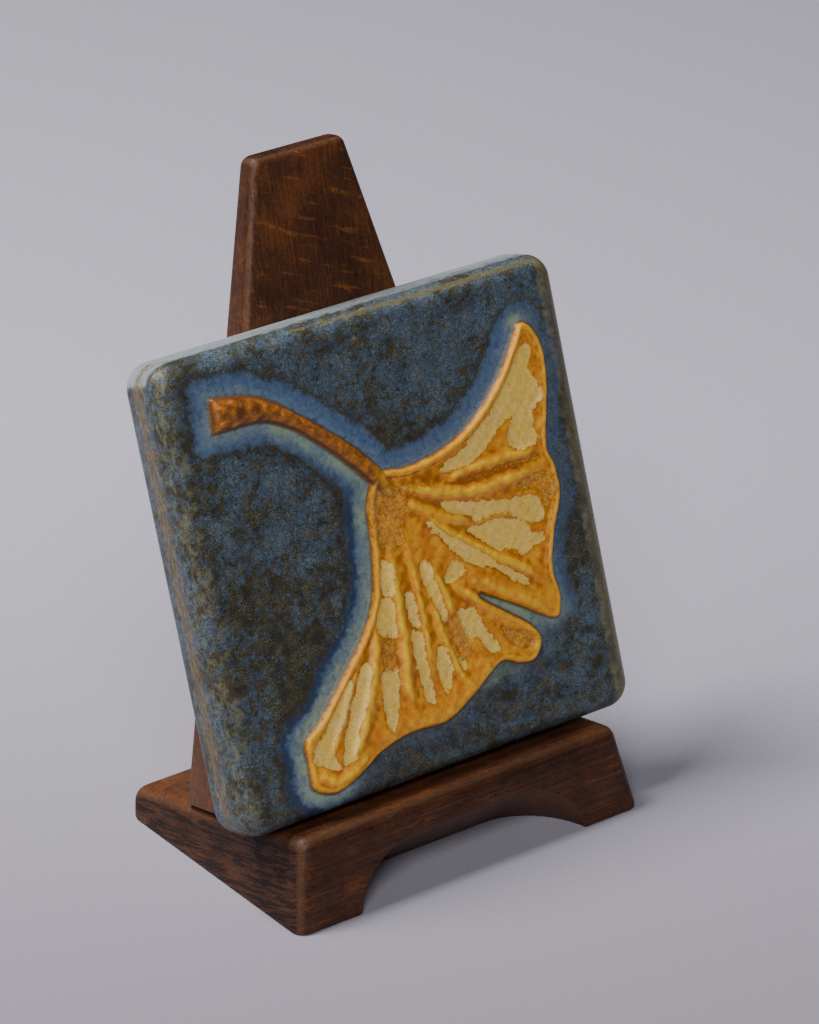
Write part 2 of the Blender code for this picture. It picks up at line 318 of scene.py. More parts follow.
@dataclass(frozen=True)
class MottledGlaze:
    """The tile's crystalline blue-brown glaze, with amber and cream glazes on its leaf."""

    slate_blue: tuple = linear(68, 89, 112)
    sky_blue: tuple = linear(122, 143, 160)
    charcoal: tuple = linear(56, 53, 43)
    umber: tuple = linear(88, 78, 54)
    olive: tuple = linear(130, 126, 94)
    tan: tuple = linear(140, 122, 88)
    clean_blue: tuple = linear(78, 104, 144)
    pale_blue: tuple = linear(164, 176, 182)
    clay: tuple = linear(176, 146, 116)
    navy: tuple = linear(40, 56, 88)
    celadon: tuple = linear(146, 164, 142)
    amber: tuple = linear(220, 134, 38)
    honey: tuple = linear(246, 170, 40)
    straw: tuple = linear(255, 212, 50)
    rust: tuple = linear(150, 80, 20)
    bark: tuple = linear(104, 64, 32)
    sienna: tuple = linear(166, 100, 40)
    cream: tuple = linear(255, 216, 118)
    biscuit: tuple = linear(206, 144, 74)
    pit: tuple = linear(20, 18, 18)
    sheen: float = 0.36
    smoothest: float = 0.22
    grain_roughness: float = 0.22
    bare_roughness: float = 0.35
    swell_depth: float = 0.00025
    grain_depth: float = 0.00010

    def field_colour(self, graph: Graph) -> Shade:
        """Colour the ground round the leaf: ragged blue islands on charcoal, with olive crystals.

        Args:
            graph: The material's graph.

        Returns:
            The ground's colour.
        """
        face = graph.places("face")
        ragged = graph.stirred(face, 1.3, 1.5)
        clouds = graph.noise(face, 0.13, 4.0, 0.6, 0.5)
        blotches = graph.noise(ragged, 0.50, 5.0, 0.66)
        grains = graph.noise(face, 2.6, 3.0, 0.6)
        rifts = graph.seams(ragged, 0.62)
        shade = clouds * 0.7 + blotches * 1.1 + graph.attribute("patch") * 0.15
        dark = (shade + (grains - 0.5) * 0.60).step(0.85, 0.99)
        tint = (blotches * 0.6 + grains * 0.8 - clouds * 0.3).step(0.42, 0.76)
        islands = graph.mix(tint * 0.75, self.slate_blue, self.sky_blue)
        ground = graph.mix(dark, islands, self.charcoal)
        seams = rifts.step(0.13, 0.02) * (shade + grains * 0.3).step(0.70, 0.95)
        ground = graph.mix(seams * 0.6, ground, self.charcoal)
        warm = graph.noise(face, 0.34, 3.0, 0.6).step(0.46, 0.62)
        ground = graph.mix(dark * warm * 0.8, ground, self.umber)
        threads = graph.noise(ragged, 1.25, 2.0, 0.5, 1.2)
        crystal = (threads - 0.5) * (threads - 0.5) * 900.0
        crystals = crystal.step(1.0, 0.15) * graph.noise(face, 0.30, 2.0, 0.5).step(0.46, 0.60)
        ground = graph.mix(crystals * 0.7, ground, self.olive)
        drifts = graph.noise(face, 0.22, 3.0, 0.6).step(0.40, 0.60)
        specks = graph.noise(face, 3.4, 2.0, 0.5).step(0.57, 0.68)
        ground = graph.mix(specks * drifts * 0.65, ground, self.celadon)
        grit = graph.noise(face, 3.8, 3.0, 0.6).step(0.52, 0.44)
        ground = graph.mix(grit * 0.55, ground, self.charcoal)
        pits = graph.cells(face, 0.42).step(0.14, 0.05)
        return graph.mix(pits * 0.85, ground, self.pit)

    def shore_colour(self, graph: Graph, ground: Shade) -> Shade:
        """Lay the celadon, blue and navy bands round the leaf over the ground, and a dark line round its foot
        that is partly painted contact shadow.

        Args:
            graph: The material's graph.
            ground: The ground's colour.

        Returns:
            The ground's colour with its bands.
        """
        face = graph.places("face")
        feather = graph.noise(face, 0.55, 6.0, 0.70)
        drift = graph.noise(face, 0.14, 2.0, 0.5)
        streaks = graph.noise(face, 0.9, 4.0, 0.6, 0.8)
        distance = graph.attribute("shore") + (feather - 0.5) * 4.5 + (drift - 0.5) * 3.0
        clean = graph.attribute("clean")
        navy = graph.attribute("navy")
        reach = distance - navy * 1.2
        edge = reach.step(4.0, 5.0) * reach.step(6.3, 5.0) * clean
        ground = graph.mix(edge * 0.6, ground, self.charcoal)
        shallow = distance.step(2.8, 0.6) * 0.45 + streaks.step(0.40, 0.72) * 0.4
        blue = graph.mix(shallow, self.clean_blue, self.sky_blue)
        blue = graph.mix((streaks + feather * 0.5).step(0.72, 0.56) * 0.8, blue, self.slate_blue)
        blue = graph.mix(distance.step(2.4, 4.4) * navy * 0.9, blue, self.navy)
        ground = graph.mix(reach.step(5.0, 3.0) * clean * 0.95, ground, blue)
        patchy = (streaks * 0.5 + feather * 0.3 + drift * 0.9).step(0.76, 0.96)
        pale = graph.attribute("celadon") * distance.step(4.2, 1.2) * (patchy * 0.7 + 0.35)
        ground = graph.mix(pale, ground, self.celadon)
        # A dark umber line round the leaf's foot: partly a dark edge in the glaze, partly painted contact
        # shadow where the leaf meets the ground.
        rim = (graph.attribute("shore") + feather * 0.6).step(0.95, 0.30)
        return graph.mix(rim * 0.75, ground, self.umber)

    def border_colour(self, graph: Graph, ground: Shade) -> Shade:
        """Lay the breaks of the glaze on the tile's rounded border over the ground, with a pale blue on the
        top and sides that is partly painted light.

        Args:
            graph: The material's graph.
            ground: The ground's colour.

        Returns:
            The ground's colour with its border.
        """
        face = graph.places("face")
        rub = graph.noise(graph.stretched(face, (3.0, 3.0, 0.7)), 1.0, 6.0, 0.72)
        rub = (rub - 0.5) * 2.2
        # Pale blue where the value named light is high: partly the glaze's own colour, partly painted light
        # on the top and sides.
        ground = graph.mix((graph.attribute("light") + rub).step(0.25, 0.85) * 0.85, ground, self.pale_blue)
        ground = graph.mix((graph.attribute("olive") - rub).step(0.25, 0.75) * 0.75, ground, self.olive)
        ground = graph.mix((graph.attribute("tan") - rub).step(0.25, 0.75) * 0.8, ground, self.tan)
        broken = graph.noise(face, 1.1, 4.0, 0.7) + rub * 0.5
        brown = graph.attribute("tan") + graph.attribute("olive") + broken
        return graph.mix(brown.step(0.95, 1.15) * brown.step(1.45, 1.20) * 0.55, ground, self.umber)

    def leaf_colour(self, graph: Graph) -> Shade:
        """Colour the leaf: its blade, the pools on it, and its stem.

        Args:
            graph: The material's graph.

        Returns:
            The leaf's colour.
        """
        face = graph.places("face")
        clouds = graph.noise(face, 0.30, 4.0, 0.6)
        ragged = graph.noise(face, 0.70, 6.0, 0.70)
        grains = graph.noise(face, 2.4, 3.0, 0.6)
        blade = self.blade_colour(graph, clouds, ragged, grains)
        pooled = self.pool_colour(graph, blade, clouds, ragged, grains)
        return graph.mix(graph.attribute("stem"), pooled, self.stem_colour(graph, ragged, grains))

    def blade_colour(self, graph: Graph, clouds: Value, ragged: Value, grains: Value) -> Shade:
        """Colour the blade: amber that breaks to straw on its ridges and rust in its creases, with painted
        shade on the rim's inner flank and a painted highlight on its outer crest.

        Args:
            graph: The material's graph.
            clouds: A slow noise.
            ragged: A noise that makes edges ragged.
            grains: A fine noise.

        Returns:
            The blade's colour.
        """
        ridge = graph.attribute("ridge")
        margin = graph.attribute("margin")
        crest = ridge - margin * 0.40
        body = graph.mix((clouds + grains * 0.25).step(0.48, 0.76), self.amber, self.honey)
        crease = (ridge + clouds * 0.6 + ragged * 0.6 - 0.35).step(0.14, -0.35)
        body = graph.mix(crease * 0.65, body, self.rust)
        body = graph.mix((crest + grains * 0.5 - 0.25).step(0.20, 0.65) * 0.8, body, self.honey)
        body = graph.mix((crest + ragged * 1.8 - 0.9).step(0.50, 1.05) * 0.75, body, self.straw)
        shore = graph.attribute("shore")
        brim = graph.attribute("brim")
        # Painted shade: the rim's inner flank faces away from the lamps and is darkened to rust, most where
        # the rim stands highest.
        shaded_flank = margin * (1.0 - margin) * 3.6 + ragged * 1.6 - ridge * 0.4 - 0.8
        body = graph.mix(shaded_flank.step(0.30, 0.85) * brim * 0.85, body, self.rust)
        # Painted highlight: the rim's outer crest faces the lamps and is lightened to honey.
        crown = (shore + ragged * 2.4 - 1.2).step(-1.3, -0.7) * (clouds + brim * 0.5).step(0.55, 1.0)
        body = graph.mix(crown * 0.75, body, self.honey)
        return graph.mix((shore + ragged * 1.2 - 0.6).step(-0.45, 0.05) * 0.85, body, self.bark)

    def pool_colour(
        self, graph: Graph, blade: Shade, clouds: Value, ragged: Value, grains: Value
    ) -> Shade:
        """Lay the pools of cream glaze and the speckled patches over the blade.

        Args:
            graph: The material's graph.
            blade: The blade's colour.
            clouds: A slow noise.
            ragged: A noise that makes edges ragged.
            grains: A fine noise.

        Returns:
            The blade's colour with its pools.
        """
        face = graph.places("face")
        speckle = (graph.attribute("speckle") + ragged * 1.4 - 0.7).step(0.25, 0.80)
        pool = graph.attribute("pool") + ragged * 3.4 - 1.7
        cream = pool.step(-0.55, -0.30)
        body = graph.mix(pool.step(-1.15, -0.55) * (1.0 - cream) * 0.5, blade, self.rust)
        tone = graph.mix(clouds.step(0.35, 0.65) * 0.45, self.cream, self.straw)
        tone = graph.mix(speckle * 0.65, tone, self.biscuit)
        crumbs = (grains * 0.5 + ragged * 0.6 + speckle * 0.11).step(0.59, 0.69)
        body = graph.mix(cream * (1.0 - crumbs * (speckle * 0.3 + 0.6)), body, tone)
        seams = graph.seams(graph.stirred(face, 1.2, 1.6), 0.8)
        veins = seams.step(0.09, 0.02) * (speckle * 0.4 + cream * 0.2)
        dots = (grains * 0.9 + ragged * 0.4).step(0.82, 0.92) * speckle
        return graph.mix(veins + dots * 0.4, body, self.rust)

    def stem_colour(self, graph: Graph, ragged: Value, grains: Value) -> Shade:
        """Colour the stem: bark brown that breaks to sienna and amber where it stands up.

        Args:
            graph: The material's graph.
            ragged: A noise that makes edges ragged.
            grains: A fine noise.

        Returns:
            The stem's colour.
        """
        ridge = graph.attribute("ridge")
        bark = graph.mix((ragged * 1.2 + ridge * 0.5).step(0.70, 1.30), self.bark, self.sienna)
        high = (ridge * 0.6 + ragged * 1.2 + grains * 0.5).step(1.35, 1.80)
        return graph.mix(high * 0.9, bark, self.amber)

    def material(self) -> bpy.types.Material:
        """Build the glaze.

        Returns:
            The finished material.
        """
        graph = Graph("mottled_glaze")
        face = graph.places("face")
        ground = self.shore_colour(graph, self.border_colour(graph, self.field_colour(graph)))
        feather = graph.noise(face, 1.2, 3.0, 0.6)
        on_leaf = (graph.attribute("shore") + feather * 0.5 - 0.25).step(0.12, -0.12)
        colour = graph.mix(on_leaf, ground, self.leaf_colour(graph))
        grain = graph.noise(face, 2.4, 4.0, 0.65)
        bare = (graph.attribute("bare") + feather * 0.4 - 0.2).step(0.45, 0.55)
        colour = graph.mix(bare, colour, graph.mix(grain.step(0.35, 0.70) * 0.5, self.clay, self.tan))
        graph.shader.inputs["Specular IOR Level"].default_value = self.sheen
        roughness = self.smoothest + grain * self.grain_roughness + bare * self.bare_roughness
        swell = graph.noise(face, 0.45, 3.0, 0.6)
        return graph.finish(colour, roughness, [(swell, self.swell_depth), (grain, self.grain_depth)])


class Board(Enum):
    """The easel's two boards."""

    BASE = "oak_base"
    UPRIGHT = "oak_upright"


@dataclass(frozen=True)
class Cut:
    """How a board was sawn from its log: how strongly its rings and ray flecks show, and how these slant."""

    rings: float
    depth_of_tone: float
    flecks: float
    slant: float


CUTS = {
    Board.BASE: Cut(rings=0.55, depth_of_tone=1.00, flecks=0.15, slant=84.0),
    Board.UPRIGHT: Cut(rings=0.35, depth_of_tone=0.90, flecks=0.60, slant=-66.0),
}


@dataclass(frozen=True)
class StainedOak:
    """Dark stained oak under a satin finish, placed along its grain, across it and through its rings."""

    board: Board
    dark: tuple = linear(46, 24, 14)
    middle: tuple = linear(80, 46, 28)
    warm: tuple = linear(116, 68, 34)
    fleck: tuple = linear(156, 96, 34)
    pore: tuple = linear(18, 10, 7)
    # The paler colour of a painted highlight: the finish's sheen on the rounded edges.
    painted_sheen: tuple = linear(112, 80, 58)
    sheen: float = 0.28
    pore_depth: float = 0.00008
    fibre_depth: float = 0.00005
    streak_depth: float = 0.00010

    def material(self) -> bpy.types.Material:
        """Build the wood.

        Returns:
            The finished material.
        """
        graph = Graph(self.board.value)
        grain = graph.places("grain")
        cut = CUTS[self.board]
        rings = graph.noise(graph.stretched(grain, (90.0, 26.0, 1.1)), 1.0, 4.0, 0.65, 0.5)
        fibres = graph.noise(graph.stretched(grain, (9.0, 0.45, 0.45)), 1.0, 4.0, 0.65)
        clouds = graph.noise(grain, 0.09, 4.0, 0.6)
        mottle = graph.noise(grain, 1.1, 3.0, 0.7)
        crown = graph.attribute("crown")
        tone = fibres * 0.5 + clouds * 0.6 + mottle * 0.35 + crown * 0.06
        tone = tone + rings * cut.rings - cut.depth_of_tone
        colour = graph.mix(tone.step(-0.24, 0.10), self.dark, self.middle)
        colour = graph.mix(tone.step(0.03, 0.22) * 0.75, colour, self.warm)
        slanted = graph.stretched(grain, (10.0, 1.7, 10.0), (0.0, 0.0, cut.slant))
        rays = graph.noise(slanted, 1.0, 3.0, 0.55, 0.4)
        fleck = rays.step(0.57, 0.67) * (fibres * 0.5 + mottle * 0.5).step(0.36, 0.56) * crown
        colour = graph.mix(fleck * cut.flecks, colour, self.fleck)
        pores = graph.noise(graph.stretched(grain, (3.2, 0.26, 0.26)), 1.0, 2.0, 0.5)
        open_pores = pores.step(0.40, 0.33)
        colour = graph.mix(open_pores * 0.65, colour, self.pore)
        vessels = graph.noise(graph.stretched(grain, (40.0, 9.0, 0.75)), 1.0, 3.0, 0.65, 0.3)
        end = graph.attribute("end")
        streaks = vessels.step(0.51, 0.44) * end
        colour = graph.mix(streaks * 0.8, colour, self.pore)
        # Painted highlight: the rounded edges are lightened, standing in for the finish's sheen there.
        edge_sheen = (graph.attribute("edge_sheen") + fibres * 0.6 - 0.30).step(0.30, 0.95)
        colour = graph.mix(edge_sheen * 0.35, colour, self.painted_sheen)
        roughness = 0.42 + fibres * 0.12 + open_pores * 0.2
        graph.shader.inputs["Specular IOR Level"].default_value = self.sheen
        relief = [
            (open_pores * -1.0, self.pore_depth), (fibres, self.fibre_depth),
            (streaks * -1.0, self.streak_depth)]
        return graph.finish(colour, roughness, relief)


@dataclass(frozen=True)
class PaperSweep:
    """Matt pale paper under the object, with painted shade: its colour darkens towards the camera, standing
    in for the light falling off.
    """

    # The painted shade's tints: darker near the camera, paler far from it.
    near: tuple = linear(146, 141, 153)
    far: tuple = linear(205, 201, 218)
    thread: tuple = linear(140, 135, 142)
    to_the_back: tuple[float, float, float] = (0.594, 0.804, 0.0)
    near_line: float = -0.16
    far_line: float = 0.22

    def material(self) -> bpy.types.Material:
        """Build the paper.

        Returns:
            The finished material.
        """
        graph = Graph("paper_sweep")
        places = graph.node("ShaderNodeTexCoord").outputs["Object"]
        fibre = graph.noise(places, 900.0, 3.0, 0.6)
        settings = {"operation": "DOT_PRODUCT"}
        made = graph.node("ShaderNodeVectorMath", settings, {0: places, 1: self.to_the_back})
        ahead = Value(graph, made.outputs["Value"])
        # Painted shade: the tint runs from dark to pale along the camera's view across the floor.
        shade = graph.mix(ahead.step(self.near_line, self.far_line), self.near, self.far)
        shade = graph.mix((fibre - 0.3) * 0.5, shade, self.thread)
        return graph.finish(shade, 0.85 + fibre * 0.1, [])


def smooth_line(points: Line, closed: bool = False, steps: int = 6) -> np.ndarray:
    """Draw a Catmull-Rom curve through points.

    Args:
        points: The points, in order.
        closed: Whether the last joins the first.
        steps: How many stretches lie between two points.

    Returns:
        The curve's points, one a row.
    """
    line = np.array(points, float)
    if closed:
        line = np.vstack([line[-1], line, line[:2]])
    else:
        line = np.vstack([2 * line[0] - line[1], line, 2 * line[-1] - line[-2]])
    share = (np.arange(steps) / steps)[:, None]
    found = []
    for before, start, end, after in zip(line, line[1:], line[2:], line[3:]):
        bend = 2 * before - 5 * start + 4 * end - after
        twist = 3 * start - before - 3 * end + after
        found.append((2 * start + (end - before) * share + bend * share**2 + twist * share**3) / 2)
    return np.vstack(found if closed else found + [line[-2:-1]])


def distance_to(line: np.ndarray, u: np.ndarray, v: np.ndarray) -> tuple[np.ndarray, np.ndarray]:
    """Measure how far places lie from a line.

    Args:
        line: The line's points.
        u: The places across.
        v: The places up.

    Returns:
        The distances, and how far along the line the nearest point lies, from 0 to 1.
    """
    nearest = np.full(u.shape, 1e9)
    along = np.zeros(u.shape)
    count = len(line) - 1
    for number, (start, end) in enumerate(zip(line, line[1:])):
        run = end - start
        share = ((u - start[0]) * run[0] + (v - start[1]) * run[1]) / max(run @ run, 1e-12)
        share = np.clip(share, 0.0, 1.0)
        gap = np.hypot(u - start[0] - share * run[0], v - start[1] - share * run[1])
        closer = gap < nearest
        nearest[closer] = gap[closer]
        along[closer] = (number + share[closer]) / count
    return nearest, along


def distance_inside(outline: np.ndarray, u: np.ndarray, v: np.ndarray) -> tuple[np.ndarray, np.ndarray]:
    """Measure how deep places lie inside a closed outline.

    Args:
        outline: The outline's points, the last not repeated.
        u: The places across.
        v: The places up.

    Returns:
        The depths, below zero outside, and where on the outline the nearest point lies, from 0 to 1.
    """
    ring = np.vstack([outline, outline[:1]])
    gap, along = distance_to(ring, u, v)
    inside = np.zeros(u.shape, bool)
    for start, end in zip(ring, ring[1:]):
        crosses = (start[1] > v) != (end[1] > v)
        if start[1] != end[1]:
            crosses &= u < start[0] + (v - start[1]) * (end[0] - start[0]) / (end[1] - start[1])
            inside ^= crosses
    return np.where(inside, gap, -gap), along


def ease(value: np.ndarray, low: float, high: float) -> np.ndarray:
    """Rise smoothly from 0 at one value to 1 at another, or fall where low is the larger."""
    share = np.clip((value - low) / (high - low), 0.0, 1.0)
    return share * share * (3 - 2 * share)


def band(value: np.ndarray, middle: float, reach: float) -> np.ndarray:
    """Mark a soft band of values, 1 in its middle."""
    return np.exp(-(((value - middle) / reach) ** 2))


def blurred(heights: np.ndarray, spread: float) -> np.ndarray:
    """Blur a grid of heights.

    Args:
        heights: The grid.
        spread: The blur's deviation, in cells.

    Returns:
        The blurred grid.
    """
    reach = int(3 * spread)
    shares = np.exp(-0.5 * (np.arange(-reach, reach + 1) / spread) ** 2)
    shares /= shares.sum()
    for axis in (0, 1):
        padded = np.pad(heights, [(reach, reach) if side == axis else (0, 0) for side in (0, 1)], mode="edge")
        count = heights.shape[axis]
        moved = [
            np.take(padded, range(step, step + count), axis) * share
            for step, share in enumerate(shares)]
        heights = np.sum(moved, axis=0)
    return heights


def add_attribute(mesh: bpy.types.Mesh, name: str, values: np.ndarray) -> None:
    """Give each vertex of a mesh a number, or a place of three numbers.

    Args:
        mesh: The mesh.
        name: The attribute's name.
        values: One number or one row a vertex.
    """
    kind, slot = ("FLOAT", "value") if values.ndim == 1 else ("FLOAT_VECTOR", "vector")
    made = mesh.attributes.new(name, kind, "POINT")
    made.data.foreach_set(slot, values.astype(np.float32).ravel())


def vertex_places(mesh: bpy.types.Mesh) -> np.ndarray:
    """Read where a mesh's vertices lie.

    Args:
        mesh: The mesh.

    Returns:
        The places, one a row.
    """
    places = np.empty(len(mesh.vertices) * 3, np.float32)
    mesh.vertices.foreach_get("co", places)
    return places.reshape(-1, 3).astype(float)


def deselect_all() -> None:
    """Leave nothing selected."""
    bpy.ops.object.select_all(action="DESELECT")


def start_piece(name: str) -> bpy.types.Object:
    """Name the primitive that was just added and turn to its edit mode.

    Args:
        name: The piece's name.

    Returns:
        The piece.
    """
    piece = bpy.context.active_object
    piece.name = name
    piece.data.name = name
    bpy.ops.object.mode_set(mode="EDIT")
    return piece


def select_where(piece: bpy.types.Object, domain: str, chosen: object) -> None:
    """Select vertices, edges or faces in edit mode by their middle.

    Args:
        piece: The piece in edit mode.
        domain: VERT, EDGE or FACE.
        chosen: A function of a middle and a direction, a normal for a face and a run for an edge.
    """
    bpy.ops.mesh.select_mode(type=domain)
    bpy.ops.mesh.select_all(action="DESELECT")
    bpy.ops.object.mode_set(mode="OBJECT")
    mesh = piece.data
    if domain == "EDGE":
        for edge in mesh.edges:
            start, end = (mesh.vertices[number].co for number in edge.vertices)
            edge.select = chosen((start + end) / 2, (end - start).normalized())
    elif domain == "FACE":
        for face in mesh.polygons:
            face.select = chosen(face.center, face.normal)
    else:
        for vertex in mesh.vertices:
            vertex.select = chosen(vertex.co, vertex.normal)
    bpy.ops.object.mode_set(mode="EDIT")


def apply_modifier(piece: bpy.types.Object, kind: str, **settings: object) -> None:
    """Add a modifier to a piece and apply it.

    Args:
        piece: The piece.
        kind: The modifier's type.
        settings: Its settings.
    """
    deselect_all()
    piece.select_set(True)
    bpy.context.view_layer.objects.active = piece
    made = piece.modifiers.new(kind.lower(), kind)
    for name, value in settings.items():
        setattr(made, name, value)
    bpy.ops.object.modifier_apply(modifier=made.name)


def place_piece(piece: bpy.types.Object, pose: Matrix) -> None:
    """Move a piece's mesh to its place and leave its object at the origin."""
    piece.data.transform(pose)
    piece.data.update()


@dataclass
class EaselFrame:
    """How the easel's boards and the tile stand to each other, as seen from the base's front bottom edge."""

    lean: float = math.radians(12.75)
    front_height: float = 0.0204
    setback: float = 0.0269
    standoff: float = 0.0098
    side_slope: float = math.radians(10.9)
    base_width: float = 0.0902
    up: Vector = field(init=False)
    back: Vector = field(init=False)
    origin: Vector = field(init=False)

    def __post_init__(self) -> None:
        """Work out the easel's axes, and where its front bottom edge lies in the row frame."""
        self.up = Vector((0.0, math.sin(self.lean), math.cos(self.lean)))
        self.back = Vector((0.0, math.cos(self.lean), -math.sin(self.lean)))
        tile_low, tile_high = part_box("tile")
        foot = self.upright_foot() + self.up * CLEARANCE
        across = (tile_low.x + tile_high.x) / 2
        self.origin = Vector((across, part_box("easel_upright")[0].y - foot.y, 0.0))

    def upright_foot(self) -> Vector:
        """Return the middle of the upright's front bottom edge, from the base's front bottom edge."""
        return self.up * self.front_height + self.back * self.setback

    def leaning(self, place: Vector, lean: float) -> Matrix:
        """Stand a piece at a place, leaning back.

        Args:
            place: Where the piece's own origin goes, from the base's front bottom edge.
            lean: How far it leans back.

        Returns:
            The piece's pose in the row frame.
        """
        return Matrix.Translation(self.origin + place) @ Matrix.Rotation(-lean, 4, "X")


@dataclass
class Ridge:
    """A raised line on the leaf, in mm: its course, its half width and its height over the leaf's floor.

    It runs out over the last share of its course that fade gives.
    """

    course: Line
    half_width: float = 1.6
    height: float = 0.9
    fade: float = 0.25

    def relief(self, u: np.ndarray, v: np.ndarray) -> np.ndarray:
        """Raise the ridge.

        Args:
            u: The places across.
            v: The places up.

        Returns:
            The ridge's height at each place.
        """
        gap, along = distance_to(smooth_line(self.course), u, v)
        end = 1.0 - ease(along, 1.0 - self.fade, 1.0) * 0.8
        start = 0.5 + 0.5 * ease(along, 0.0, 0.12)
        width = self.half_width * (0.75 + 0.25 * end)
        knobs = 1.0 + 0.12 * np.sin(0.7 * u + 0.9 * v) + 0.06 * np.sin(1.3 * u - 0.6 * v)
        return self.height * knobs * end * start * np.exp(-1.7 * (gap / width) ** 2)


